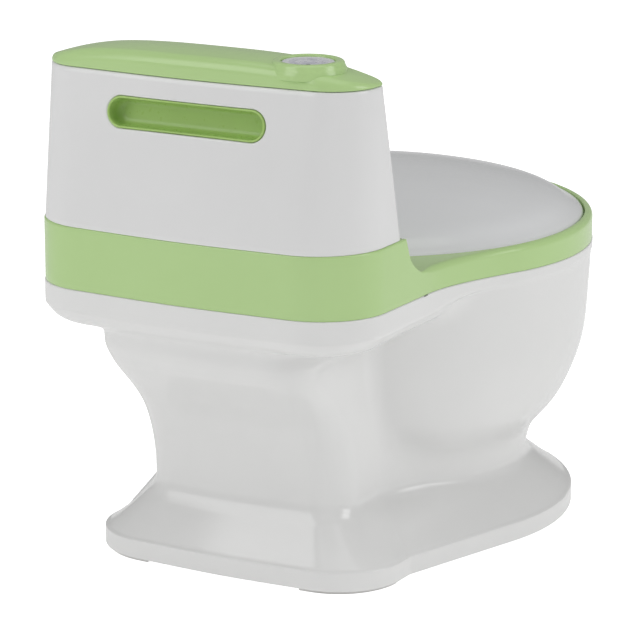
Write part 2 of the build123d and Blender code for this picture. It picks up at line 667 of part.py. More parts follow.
with BuildPart() as sound_case:
    add(slab(CASE_X0, CASE_X1, CASE_Y0, CASE_Y1, CASE_Z0, CASE_Z1))
    fillet(sound_case.edges().filter_by(Axis.Z), 4)
    add(slab(CASE_X0 + CASE_WALL, CASE_X1 - CASE_WALL, CASE_Y0 + CASE_WALL,
             CASE_Y1 - CASE_WALL, CASE_Z0 + CASE_WALL, CASE_Z1 + 1), mode=Mode.SUBTRACT)
    add(slab(bay_x0 - 1.2, bay_x1 + 1.2, CASE_Y0 + 1, CASE_Y1 - 1,
             CASE_Z0 + CASE_WALL, BAY_TOP_Z + 1.2))
    add(slab(bay_x0, bay_x1, CASE_MID_Y - bay_half, CASE_MID_Y + bay_half,
             CASE_Z0 - 1, BAY_TOP_Z), mode=Mode.SUBTRACT)
    add(slab(-90.2, bay_x0 + 1, CASE_MID_Y - 5.3, CASE_MID_Y + 5.3,
             CASE_Z0 - 1, CASE_Z0 + CASE_WALL), mode=Mode.SUBTRACT)
    add(rods(CASE_POSTS, 3.4, CASE_Z0 + 1, CASE_Z1))
    add(rods(CASE_POSTS, SCREW_SHANK + 0.2, CASE_Z0 - 1, CASE_Z1 + 1), mode=Mode.SUBTRACT)
    add(rods(CASE_POSTS, SCREW_HEAD + 0.1, CASE_Z0 - 1, CASE_Z0 + 1.4), mode=Mode.SUBTRACT)
    add(rods([DOOR_SCREW], 2.6, CASE_Z0 + CASE_WALL + 0.2, BAY_TOP_Z))
    add(slab(CASE_X0 + 1, bay_x0 - 0.6, CASE_MID_Y - 1, CASE_MID_Y + 1,
             CASE_Z0 + CASE_WALL + 3, BAY_TOP_Z))
    add(rods([DOOR_SCREW], 1.3, CASE_Z0, CASE_Z0 + 9), mode=Mode.SUBTRACT)
    with BuildSketch(Plane.XY.offset(CASE_Z0 - 1)):
        with Locations(SPEAKER):
            with PolarLocations(5.5, 6):
                Circle(1.2)
            Circle(1.2)
    extrude(amount=CASE_WALL + 1.5, mode=Mode.SUBTRACT)
export(sound_case.part, "sound_case")

with BuildPart() as case_cover:
    add(slab(CASE_X0, CASE_X1, CASE_Y0, CASE_Y1, CASE_Z1, COVER_TOP_Z))
    fillet(case_cover.edges().filter_by(Axis.Z), 4)
    add(rods(CASE_POSTS, SCREW_SHANK + 0.2, CASE_Z1 - 1, COVER_TOP_Z + 1), mode=Mode.SUBTRACT)
    add(rods(button_place, STEM_RADIUS + 0.4, CASE_Z1 - 1, COVER_TOP_Z + 1),
        mode=Mode.SUBTRACT)
export(case_cover.part, "case_cover")

with BuildPart() as case_screws:
    add(screws(CASE_POSTS, CASE_Z0 - 0.8, 2.0, 29))
export(case_screws.part, "case_screws")

with BuildPart() as battery_door:
    for piece in door_shape:
        add(piece)
    add(rods([DOOR_SCREW], 1.3, CASE_Z0 - 1, CASE_Z0 + 4), mode=Mode.SUBTRACT)
export(battery_door.part, "battery_door")

with BuildPart() as door_screw:
    add(screws([DOOR_SCREW], CASE_Z0 - 1.6, 1.6, 8, radius=1.25, head=2.6))
export(door_screw.part, "door_screw")

for side, battery_name in ((1, "battery_front"), (-1, "battery_rear")):
    battery_y = CASE_MID_Y - side * BATTERY_PITCH / 2
    with BuildPart() as battery:
        add(cross_rod(BATTERY_X0 + 1, BATTERY_X1, battery_y, BATTERY_Z, BATTERY_RADIUS))
        add(cross_rod(BATTERY_X0, BATTERY_X0 + 1, battery_y, BATTERY_Z, 1.9))
    export(battery.part, battery_name)

with BuildPart() as battery_contacts:
    for plate_x in (BATTERY_X0 - 1.6, BATTERY_X1 + 0.8):
        for side in (-1, 1):
            plate_y = CASE_MID_Y + side * BATTERY_PITCH / 2
            add(slab(plate_x, plate_x + 0.8, plate_y - 4, plate_y + 4, 314, 323))
            add(cross_rod(plate_x + (0.8 if plate_x < BATTERY_X0 else -0.8),
                          plate_x + (1.6 if plate_x < BATTERY_X0 else 0),
                          plate_y, BATTERY_Z, 2.2))
export(battery_contacts.part, "battery_contacts")

with BuildPart() as circuit_board:
    add(slab(-83, -17, CASE_Y0 + 2.2, CASE_Y1 - 2.2, BOARD_Z, BOARD_Z + BOARD_THICKNESS))
    add(slab(-50, -38, 152, 164, BOARD_Z + BOARD_THICKNESS, BOARD_Z + BOARD_THICKNESS + 1.4))
export(circuit_board.part, "circuit_board")

with BuildPart() as tact_switch:
    board_top = BOARD_Z + BOARD_THICKNESS
    add(slab(BUTTON_X - 3, BUTTON_X + 3, BUTTON_Y - 3, BUTTON_Y + 3, board_top, board_top + 2.6))
    add(rods(button_place, 1.75, board_top + 2.6, SWITCH_TOP_Z))
export(tact_switch.part, "tact_switch")

with BuildPart() as speaker:
    speaker_low_z = CASE_Z0 + CASE_WALL
    add(rods([SPEAKER], SPEAKER_RADIUS, speaker_low_z, speaker_low_z + 2))
    add(rods([SPEAKER], SPEAKER_RADIUS * 0.55, speaker_low_z + 2, speaker_low_z + 6))
export(speaker.part, "speaker")
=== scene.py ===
import math
import bmesh
import bpy
import numpy as np
from mathutils import Matrix, Vector


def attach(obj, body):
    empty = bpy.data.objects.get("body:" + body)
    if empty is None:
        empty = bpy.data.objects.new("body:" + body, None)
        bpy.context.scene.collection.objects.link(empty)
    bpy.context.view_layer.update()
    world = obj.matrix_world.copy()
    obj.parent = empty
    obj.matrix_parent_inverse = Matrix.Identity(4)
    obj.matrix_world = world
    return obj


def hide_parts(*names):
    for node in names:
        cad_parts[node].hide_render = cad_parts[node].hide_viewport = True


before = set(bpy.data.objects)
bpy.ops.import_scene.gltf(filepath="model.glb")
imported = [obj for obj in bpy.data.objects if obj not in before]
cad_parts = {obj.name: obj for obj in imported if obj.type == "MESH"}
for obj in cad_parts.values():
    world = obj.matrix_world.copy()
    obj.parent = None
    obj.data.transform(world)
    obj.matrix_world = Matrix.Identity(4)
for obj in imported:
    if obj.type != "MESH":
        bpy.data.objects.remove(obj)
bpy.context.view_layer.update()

# A child's potty chair shaped like a toilet.  Shapes are worked out in millimetres in the
# CAD frame (front towards -Y, tank towards +Y, floor at Z = 0) and scaled on the way out.
MM = 0.001

# ---- sizes shared by several pieces --------------------------------------------------
WALL = 3.0
FLOOR_Z = 2.0                # underside of the base, on its foot pads
PLINTH_TOP = 15.0
CREASE = 39.0
CORBEL_Z = 149.0
SHELF_Z = 168.0
BELT_Z = 183.0
SEAM_Z, SEAM_SLOPE = 191.5, 0.0125
DECK_Z, RIM_TOP, PLATFORM = 204.5, 209.0, 235.0
TANK_TOP = 335.0
BACK_Y = 204.0
BOWL_Y, BOWL_R = -47.0, 155.5
SIDE_X = 121.5
CORNER = 46.0
REAR_BOW = 0.045
LID_R = 148.8
RECESS_R = LID_R + 1.0
POT_Y, OVAL_X, OVAL_Y = -52.0, 76.0, 92.0
LEDGE_Z = 199.0
HINGE = (108.0, 213.0)
KNUCKLES = (-46.0, 46.0)
BUTTON = (-73.0, 165.0)
SHELF_EDGE, CORBEL_EDGE = 17.0, 9.0    # rounding under the shelf and under the corbel
PLINTH_Y, PLINTH_R, PLINTH_TURN = -45.0, 145.0, 107.5
WAIST = (109.0, 94.0)                  # where the plinth is narrowest behind the bowl
PLINTH_BACK, PLINTH_CORNER = 155.5, 46.0
PEDESTAL_HALF, PEDESTAL_CORNER, NECK_R = 74.5, 25.0, 110.5
CORBEL_HALF, CORBEL_BACK, CORBEL_CORNER = 78.0, 188.5, 32.0
TANK_HALF, TANK_HALF_TAPER = 120.3, 4.8          # at the platform, and what it loses
TANK_FRONT, TANK_FRONT_LEAN = 125.0, 15.5        # on the way up to the tank's top
TANK_REAR, TANK_REAR_LEAN = 203.6, 14.1
TANK_FRONT_TOP, TANK_REAR_TOP = 140.5, 189.5
TANK_FRONT_CORNER, TANK_CORNER_TAPER = 10.0, 15.0
SCREW_PLACES = [(side * x, y) for side in (-1, 1) for x, y in ((104.0, 108.0), (96.0, 164.0))]

CENTRE_Y = 20.0              # the base and frame are sampled by angle about this line
HALF_COLUMNS = 190


# ---- small helpers -------------------------------------------------------------------
def curve(points, start=None, end=None, count=240):
    """Smooth curve through the points, by chord length, with optional end directions."""
    p = np.array(points, float)
    t = np.concatenate(([0.0], np.cumsum(np.linalg.norm(np.diff(p, axis=0), axis=1))))
    h = np.diff(t)
    n = len(p)
    a = np.zeros((n, n))
    b = np.zeros(p.shape)
    for i in range(1, n - 1):
        a[i, i - 1:i + 2] = h[i], 2 * (h[i - 1] + h[i]), h[i - 1]
        b[i] = 3 * (h[i] * (p[i] - p[i - 1]) / h[i - 1] + h[i - 1] * (p[i + 1] - p[i]) / h[i])
    for row, near, step, direction in ((0, 1, 0, start), (n - 1, n - 2, n - 2, end)):
        a[row, row] = 1.0 if direction is not None else 2.0
        if direction is None:
            a[row, near] = 1.0
            b[row] = 3 * (p[step + 1] - p[step]) / h[step]
        else:
            b[row] = np.array(direction, float) / np.linalg.norm(direction)
    m = np.linalg.solve(a, b)
    s = np.linspace(0, t[-1], count)
    k = np.clip(np.searchsorted(t, s, side="right") - 1, 0, n - 2)
    u = ((s - t[k]) / h[k])[:, None]
    hk = h[k][:, None]
    return ((2 * u**3 - 3 * u**2 + 1) * p[k] + (u**3 - 2 * u**2 + u) * hk * m[k]
            + (3 * u**2 - 2 * u**3) * p[k + 1] + (u**3 - u**2) * hk * m[k + 1])


def arc(x, y, radius, start, sweep, count=200):
    angle = np.radians(np.linspace(start, start + sweep, count))
    return np.stack([x + radius * np.cos(angle), y + radius * np.sin(angle)], axis=1)


def smooth_min(a, b, width):
    """Union of two fields with a soft blend."""
    h = np.clip(0.5 + 0.5 * (b - a) / width, 0, 1)
    return b + (a - b) * h - width * h * (1 - h)


def round_max(a, b, radius):
    """Intersection of two fields with a rounded edge."""
    outside = np.hypot(np.maximum(a + radius, 0), np.maximum(b + radius, 0))
    return np.minimum(np.maximum(a, b), -radius) + outside


def quarter(count):
    """Sine and one-minus-cosine pairs of a quarter turn, without its first point."""
    turn = np.linspace(0, math.pi / 2, count + 1)[1:]
    return list(zip(np.sin(turn), 1 - np.cos(turn)))


def spread(*stops):
    """Joins evenly spaced runs: spread(0, (10, 4), (12, 2)) is 0..10 in 4, then 12 in 2."""
    values = [float(stops[0])]
    for target, count in stops[1:]:
        values += list(np.linspace(values[-1], target, count + 1)[1:])
    return np.array(values)


# ---- plan outlines: the +X half, from the middle of the front to the middle of the rear
def rear_half(half, rear_y, corner):
    """From the end of a straight side, round the rear corner, along the bowed rear."""
    turn = 87.0
    corner_y = rear_y - REAR_BOW * (half - corner) - corner * math.sin(math.radians(turn))
    bend = arc(half - corner, corner_y, corner, 0, turn)
    leave = (-math.sin(math.radians(turn)), math.cos(math.radians(turn)))
    return np.vstack([bend, curve([bend[-1], (0, rear_y)], leave, (-1, 0))[1:]])


def line(start, end, count=200):
    return np.linspace(start, end, count)


def rim_half(inset=0.0):
    """Seat rim: round about the bowl, then flaring into the straight sides and the rear."""
    half = SIDE_X - inset
    front = arc(0, BOWL_Y, BOWL_R - inset, -90, 113.5, 500)
    turn = math.radians(23.5)
    flare = curve([front[-1], (half + 12, 38), (half + 5, 60), (half, 92)],
                  (-math.sin(turn), math.cos(turn)), (0, 1))
    rear = rear_half(half, BACK_Y - inset, CORNER - inset)
    return np.vstack([front, flare[1:], line(flare[-1], rear[0])[1:-1], rear])


def plinth_half(inset=0.0):
    front = arc(0, PLINTH_Y, PLINTH_R - inset, -90, PLINTH_TURN, 500)
    waist = (WAIST[0] - inset, WAIST[1])
    rear = rear_half(waist[0], PLINTH_BACK - inset, PLINTH_CORNER - inset)
    return np.vstack([front, line(front[-1], waist)[1:], line(waist, rear[0])[1:-1], rear])


def pedestal_half(back_y, extra=0.0):
    half = PEDESTAL_HALF + extra
    front = arc(0, BOWL_Y, NECK_R, -90, 106, 500)
    turn = math.radians(16)
    web = curve([front[-1], (half + 9.5, 42), (half, 78)],
                (-math.sin(turn), math.cos(turn)), (0, 1))
    rear = rear_half(half, back_y, PEDESTAL_CORNER)
    return np.vstack([front, web[1:], line(web[-1], rear[0])[1:-1], rear])


def block_half(half, front_y, rear_y, front_corner, rear_corner):
    front = line((0, front_y), (half - front_corner, front_y))
    bend = arc(half - front_corner, front_y + front_corner, front_corner, -90, 90)
    rear = rear_half(half, rear_y, rear_corner)
    return np.vstack([front, bend[1:], line(bend[-1], rear[0])[1:-1], rear])


def polar(half_outline, angles, centre_y=CENTRE_Y):
    """Radius of an outline at each angle (0 at the front), and the cosine of its slant."""
    angle = np.arctan2(half_outline[:, 0], centre_y - half_outline[:, 1])
    radius = np.hypot(half_outline[:, 0], half_outline[:, 1] - centre_y)
    value = np.interp(angles, angle, radius)
    step = 1e-3
    change = (np.interp(angles + step, angle, radius) - np.interp(angles - step, angle, radius))
    return value, 1 / np.hypot(1, change / (2 * step) / value)


def column_angles(outlines, dense=None):
    """Angles from front to rear, closer together where the outlines turn or are long."""
    fine = np.linspace(0, math.pi, 6000)
    weight = np.full(len(fine), 0.15 / math.pi)
    for outline in outlines:
        radius, slant = polar(outline, fine)
        x, y = radius * np.sin(fine), CENTRE_Y - radius * np.cos(fine)
        length = np.hypot(np.gradient(x), np.gradient(y))
        heading = np.unwrap(np.arctan2(np.gradient(y), np.gradient(x)))
        bend = np.convolve(np.abs(np.gradient(heading)), np.ones(41) / 41, mode="same")
        weight = weight + length / length.sum() / (fine[1] - fine[0])
        weight = weight + 0.9 * bend / bend.sum() / (fine[1] - fine[0])
        if dense is not None and outline is outlines[0]:
            low, high, share = dense
            inside = (y > low) & (y < high) & (x > 100)
            weight = weight + share * inside / inside.sum() / (fine[1] - fine[0])
    total = np.concatenate(([0], np.cumsum((weight[1:] + weight[:-1]) / 2)))
    return np.interp(np.linspace(0, total[-1], HALF_COLUMNS), total, fine)


# ---- meshes --------------------------------------------------------------------------
def new_object(name, points, faces, smooth=True):
    mesh = bpy.data.meshes.new(name)
    mesh.from_pydata((np.asarray(points) * MM).tolist(), [], faces)
    mesh.validate()
    work = bmesh.new()
    work.from_mesh(mesh)
    bmesh.ops.recalc_face_normals(work, faces=work.faces)
    work.to_mesh(mesh)
    work.free()
    mesh.polygons.foreach_set("use_smooth", [smooth] * len(mesh.polygons))
    piece = bpy.data.objects.new(name, mesh)
    bpy.context.scene.collection.objects.link(piece)
    return piece


def rows_object(name, rows, ring=False, caps=()):
    """A skin over rows of points. Each row is a closed loop; a cap closes an end row."""
    rows = np.asarray(rows)
    count, around = rows.shape[:2]
    points = rows.reshape(-1, 3)
    index = np.arange(count * around).reshape(count, around)
    upper = index if ring else index[:-1]
    lower = np.roll(index, -1, axis=0) if ring else index[1:]
    quads = np.stack([upper, np.roll(upper, -1, axis=1), np.roll(lower, -1, axis=1), lower],
                     axis=-1).reshape(-1, 4)
    faces = quads.tolist()
    for end in caps:
        middle = len(points)
        loop = index[end]
        points = np.vstack([points, rows[end].mean(axis=0)])
        faces += [[middle, int(a), int(b)] for a, b in zip(loop, np.roll(loop, -1))]
    return new_object(name, points, faces)


def mirrored(radius, height):
    """Rows of (radius, height) over the half angles, as rows of points all the way round."""
    x = radius * np.sin(ANGLES)
    y = CENTRE_Y - radius * np.cos(ANGLES)
    half = np.stack([x, y, np.broadcast_to(height, x.shape)], axis=-1)
    other = half[:, -2:0:-1] * np.array([-1, 1, 1])
    return np.concatenate([half, other], axis=1)


def full_loop(half, z):
    """A closed loop of points from a half outline at one height."""
    other = half[-2:0:-1] * np.array([-1, 1])
    plan = np.vstack([half, other])
    return np.column_stack([plan, np.full(len(plan), float(z))])


def lathe(name, profile, x, y, steps=192, caps=()):
    """A turned piece from (radius, height) pairs about an upright axis."""
    angle = np.linspace(0, 2 * math.pi, steps, endpoint=False)
    rows = [np.column_stack([x + r * np.cos(angle), y + r * np.sin(angle),
                             np.full(steps, float(z))]) for r, z in profile]
    return rows_object(name, rows, ring=not caps, caps=caps)


def tube_along_x(name, x0, x1, y, z, outer, inner, edge=0.5, steps=64):
    """A short tube along X with rounded ends."""
    profile = [(inner, x0 + edge), (inner + edge, x0), (outer - edge, x0),
               (outer - edge * 0.3, x0 + edge * 0.3), (outer, x0 + edge)]
    profile += [(r, x0 + x1 - x) for r, x in reversed(profile)]
    angle = np.linspace(0, 2 * math.pi, steps, endpoint=False)
    rows = [np.column_stack([np.full(steps, x), y + r * np.cos(angle), z + r * np.sin(angle)])
            for r, x in profile]
    return rows_object(name, rows, ring=True)


def tab_along_x(name, x0, x1, outline, edge=0.6):
    """A plate from a convex outline in Y and Z, with rounded edges, between two X values."""
    outline = np.array(outline, float)
    after = np.roll(outline, -1, axis=0) - outline
    before = outline - np.roll(outline, 1, axis=0)
    heading = after / np.linalg.norm(after, axis=1)[:, None]
    heading = heading + before / np.linalg.norm(before, axis=1)[:, None]
    normal = np.column_stack([-heading[:, 1], heading[:, 0]])
    normal /= np.linalg.norm(normal, axis=1)[:, None]
    steps = [(0.0, 1.0)] + [(s, 1 - s2) for s, s2 in quarter(4)]
    rows = []
    for side, x in ((1, x0), (-1, x1)):
        part = [np.column_stack([np.full(len(outline), x + side * edge * (1 - rise)),
                                 outline + normal * edge * inset]) for rise, inset in steps]
        rows += part[::-1] if side == 1 else part
    ordered = rows[:5][::-1] + rows[5:][::-1]
    return rows_object(name, ordered, caps=(0, -1))


def join(main, others):
    """Joins the other objects into the main one."""
    work = bmesh.new()
    work.from_mesh(main.data)
    for other in others:
        work.from_mesh(other.data)
        mesh = other.data
        bpy.data.objects.remove(other)
        bpy.data.meshes.remove(mesh)
    work.to_mesh(main.data)
    work.free()
    main.data.polygons.foreach_set("use_smooth", [True] * len(main.data.polygons))
    return main


def cut(main, cutters):
    """Takes the cutters away from the main object."""
    for number, cutter in enumerate(cutters):
        modifier = main.modifiers.new(f"cut_{number}", "BOOLEAN")
        modifier.object = cutter
        modifier.operation = "DIFFERENCE"
        modifier.solver = "MANIFOLD"
    graph = bpy.context.evaluated_depsgraph_get()
    result = bpy.data.meshes.new_from_object(main.evaluated_get(graph))
    main.modifiers.clear()
    main.data = result
    for cutter in cutters:
        bpy.data.objects.remove(cutter)
    return main


def sharp_by_angle(piece, degrees=38.0):
    """Keeps the real corners of a cut piece crisp."""
    piece.data.set_sharp_from_angle(angle=math.radians(degrees))


# ---- base: one soft field for plinth, flare, pedestal, bowl, corbel and shelf --------
ANGLES = column_angles([rim_half(), plinth_half(), pedestal_half(150)], dense=(98, 130, 0.35))
COLUMN_Z = curve([(CREASE, 131.5), (54, 130), (72, 131.8), (88, 136.5), (104, 144.5),
                  (120, 158), (136, 175), (150, 186), (170, 187)], count=900)
BOWL_PROFILE = curve([(42, 108), (60, 116), (80, 132), (100, 142.6), (125, 150.3),
                      (150, 152.8), (175, 154.2), (196, 155.2)], count=900)
COLUMN_Y = np.linspace(129, 189, 61)
column_table = [polar(pedestal_half(back), ANGLES) for back in COLUMN_Y]
COLUMN_R = np.array([entry[0] for entry in column_table])
COLUMN_SLANT = np.array([entry[1] for entry in column_table])
PLINTH = polar(plinth_half(), ANGLES)
FLARE_LOW = polar(plinth_half(1.5), ANGLES)
FLARE_HIGH = polar(pedestal_half(134.5, 5), ANGLES)
CORBEL = polar(block_half(CORBEL_HALF, -30, CORBEL_BACK, 20, CORBEL_CORNER), ANGLES)
SHELF = polar(block_half(SIDE_X, -30, BACK_Y, 20, CORNER), ANGLES)
RIM = polar(rim_half(), ANGLES)


def side_of(outline, r):
    return (r - outline[0]) * outline[1]


def base_walls(r, z):
    """Signed distance, roughly, to the outside of the base, without its top and bottom."""
    plinth = round_max(side_of(PLINTH, r), z - PLINTH_TOP, 0.9)
    run = CREASE - PLINTH_TOP
    reach = FLARE_LOW[0] - FLARE_HIGH[0]
    flare_r = FLARE_LOW[0] - reach * np.maximum(z - PLINTH_TOP, 0) / run
    flare = (r - flare_r) * FLARE_LOW[1] * run / np.hypot(run, reach)

    back = np.interp(z, COLUMN_Z[:, 0], COLUMN_Z[:, 1])
    place = np.clip(back - COLUMN_Y[0], 0, len(COLUMN_Y) - 1.001)
    low = place.astype(int)
    share = place - low
    which = np.broadcast_to(np.arange(len(ANGLES)), low.shape)
    column_r = COLUMN_R[low, which] * (1 - share) + COLUMN_R[low + 1, which] * share
    gain = COLUMN_R[low + 1, which] - COLUMN_R[low, which]
    rise = np.gradient(COLUMN_Z[:, 1], COLUMN_Z[:, 0])
    rise = gain * np.interp(z, COLUMN_Z[:, 0], rise)
    column = (r - column_r) * COLUMN_SLANT[low, which] / np.hypot(1, rise)

    to_axis = np.hypot(r * np.sin(ANGLES), CENTRE_Y - BOWL_Y - r * np.cos(ANGLES))
    slope = np.gradient(BOWL_PROFILE[:, 1], BOWL_PROFILE[:, 0])
    slope = np.interp(z, BOWL_PROFILE[:, 0], slope)
    bowl_r = np.interp(z, BOWL_PROFILE[:, 0], BOWL_PROFILE[:, 1])
    bowl = (to_axis - bowl_r) / np.hypot(1, slope)

    corbel = round_max(side_of(CORBEL, r), CORBEL_Z - z, CORBEL_EDGE)
    shelf = round_max(side_of(SHELF, r), SHELF_Z - z, SHELF_EDGE)
    rim = round_max(side_of(RIM, r), BELT_Z - z, 3)

    foot = smooth_min(plinth, flare, 1.6)
    stem = smooth_min(column, corbel, 6)
    upper = smooth_min(smooth_min(bowl, rim, 1.5), shelf, 9)
    body = smooth_min(stem, upper, 9)
    return np.maximum(smooth_min(body, foot, 5), side_of(RIM, r))


def seam_height(r):
    return SEAM_Z + SEAM_SLOPE * (CENTRE_Y - r * np.cos(ANGLES))


def base_outside(r, z):
    walls = round_max(base_walls(r, z), FLOOR_Z - z, 1.2)
    return round_max(walls, z - seam_height(r), 0.7)


def base_rays():
    """Each row's rays, by an inner point and a point near the surface: r and z of both."""
    inner = 30.0
    rays = []
    for z in spread(FLOOR_Z, (2.15, 1), (3.2, 4), (5, 2), (13.6, 6), (15, 6)):
        rays.append((inner, z, PLINTH[0], z))
    for share in spread(0, (0.06, 3), (0.9, 20), (1.0, 4))[1:]:
        guide_r = FLARE_LOW[0] + share * (FLARE_HIGH[0] - FLARE_LOW[0])
        guide_z = PLINTH_TOP + share * (CREASE - PLINTH_TOP)
        tilt = 22.0 * min(share / 0.12, 1.0)
        rays.append((inner, guide_z - tilt, guide_r, guide_z))
    for share in spread(0, (1, 18))[1:]:
        z = CREASE + share * 21.0
        rays.append((inner, z - 22.0 * (1 - share), FLARE_HIGH[0], z))
    for z in spread(60, (140, 42))[1:]:
        rays.append((inner, z, RIM[0], z))
    bowl_r = (CENTRE_Y - BOWL_Y) * np.cos(ANGLES) + np.sqrt(
        153.5**2 - ((CENTRE_Y - BOWL_Y) * np.sin(ANGLES))**2)
    corbel_r = np.maximum(CORBEL[0], 0.7 * bowl_r)
    shelf_r = np.maximum(SHELF[0], bowl_r)
    for share in spread(0, (1, 16))[1:]:
        rays.append((inner, 140 + 34 * share, corbel_r, 140 + 16.0 * share))
    for share in spread(0, (1, 8))[1:]:
        rays.append((inner, 174 + 14 * share, corbel_r, 156 + 12.0 * share))
    for share in spread(0, (1, 10))[1:]:
        guide_r = corbel_r + share * (shelf_r - SHELF_EDGE - corbel_r)
        rays.append((inner, 188.0 + share, guide_r, SHELF_Z))
    for share in spread(0, (1, 14))[1:]:
        turn = share * math.pi / 2
        guide_r = shelf_r - SHELF_EDGE + SHELF_EDGE * math.sin(turn)
        guide_z = SHELF_Z + SHELF_EDGE * (1 - math.cos(turn))
        rays.append((inner, 189.0 + 0.5 * share, guide_r, guide_z))
    return rays


def solve_rows(rays, field, level):
    """Where the field reaches the level along every ray."""
    shape = (len(rays), len(ANGLES))
    r0 = np.array([np.broadcast_to(ray[0], len(ANGLES)) for ray in rays])
    z0 = np.array([np.broadcast_to(ray[1], len(ANGLES)) for ray in rays])
    r1 = np.array([np.broadcast_to(ray[2], len(ANGLES)) for ray in rays])
    z1 = np.array([np.broadcast_to(ray[3], len(ANGLES)) for ray in rays])
    low = np.full(shape, 0.05)
    high = 1 + 110.0 / (r1 - r0)
    for _ in range(34):
        middle = (low + high) / 2
        inside = field(r0 + middle * (r1 - r0), z0 + middle * (z1 - z0)) < level
        low = np.where(inside, middle, low)
        high = np.where(inside, high, middle)
    return r0 + low * (r1 - r0), z0 + low * (z1 - z0)


def build_base():
    outer_r, outer_z = solve_rows(base_rays(), base_outside, 0.0)
    rim_r = RIM[0]
    steps = spread(0, (0.72, 6), (1, 6))
    start_z = outer_z[-1]
    top_r, top_z = [], []
    for share in steps[1:]:
        goal = seam_height(rim_r) - start_z
        ray_z = start_z + goal * share
        one_r, one_z = solve_rows([(30.0, ray_z, rim_r, ray_z)], base_outside, 0.0)
        if share == 1:
            one_r = rim_r[None] - 0.7
            one_z = seam_height(one_r)
        top_r.append(one_r[0])
        top_z.append(one_z[0])
    outer_r = np.vstack([outer_r, top_r])
    outer_z = np.vstack([outer_z, top_z])

    inner_rays = [(30.0, z, RIM[0], z) for z in
                  spread(188.5, (172, 10), (166, 8), (140, 16), (60, 30), (12, 26), (5.2, 5))]
    inner_r, inner_z = solve_rows(inner_rays, base_walls, -WALL)
    lip_r = rim_r - WALL
    inner_r = np.vstack([lip_r, inner_r])
    inner_z = np.vstack([seam_height(lip_r), inner_z])
    flange = [(PLINTH[0] - 21.4, 5.0), (PLINTH[0] - 22, 4.4), (PLINTH[0] - 22, 2.6),
              (PLINTH[0] - 21.4, FLOOR_Z)]
    inner_r = np.vstack([inner_r] + [r for r, z in flange])
    inner_z = np.vstack([inner_z] + [np.full(len(ANGLES), z) for r, z in flange])
    rows = mirrored(np.vstack([outer_r, inner_r]), np.vstack([outer_z, inner_z]))
    body = rows_object("base_body", rows, ring=True)
    bosses = [lathe(f"base_boss_{i}", [(1.7, 170.0), (4.5, 170.0), (4.5, 190.5), (1.7, 190.5)],
                    x, y, 32) for i, (x, y) in enumerate(SCREW_PLACES)]
    recesses = [lathe(f"base_recess_{i}", [(3.5, 160.0), (3.5, 171.0)], x, y, 40, (0, -1))
                for i, (x, y) in enumerate(SCREW_PLACES)]
    cut(body, recesses)
    join(body, bosses)
    sharp_by_angle(body, 50)
    return body


# ---- seat frame ----------------------------------------------------------------------
FRAME_INSET = 0.45           # the green sits this much inside the white below it
COVE = curve([(102, RIM_TOP), (110, 212.5), (117.5, 218.5), (122, 226), (125, PLATFORM)],
             (1, 0.12), count=600)
CROWN = curve([(80, DECK_Z - 1), (86, 209), (100, 212.6), (116, 213), (131, 209),
               (141.8, DECK_Z)], end=(1, -0.25), count=600)


def frame_height(y):
    """Height of the frame's top outside the seat recess."""
    return np.interp(y, COVE[:, 0], COVE[:, 1])


def ray_circle(radius):
    """Distance along each ray to a circle about the bowl's axis."""
    offset = CENTRE_Y - BOWL_Y
    return offset * np.cos(ANGLES) + np.sqrt(radius**2 - (offset * np.sin(ANGLES))**2)


def ray_oval(grow):
    """Distance along each ray to the oval of the seat opening."""
    a, b = OVAL_X + grow, OVAL_Y + grow
    sx, sy = np.sin(ANGLES) / a, -np.cos(ANGLES) / b
    oy = (CENTRE_Y - POT_Y) / b
    qa = sx**2 + sy**2
    qb = 2 * oy * sy
    return (-qb + np.sqrt(qb**2 - 4 * qa * (oy**2 - 1))) / (2 * qa)


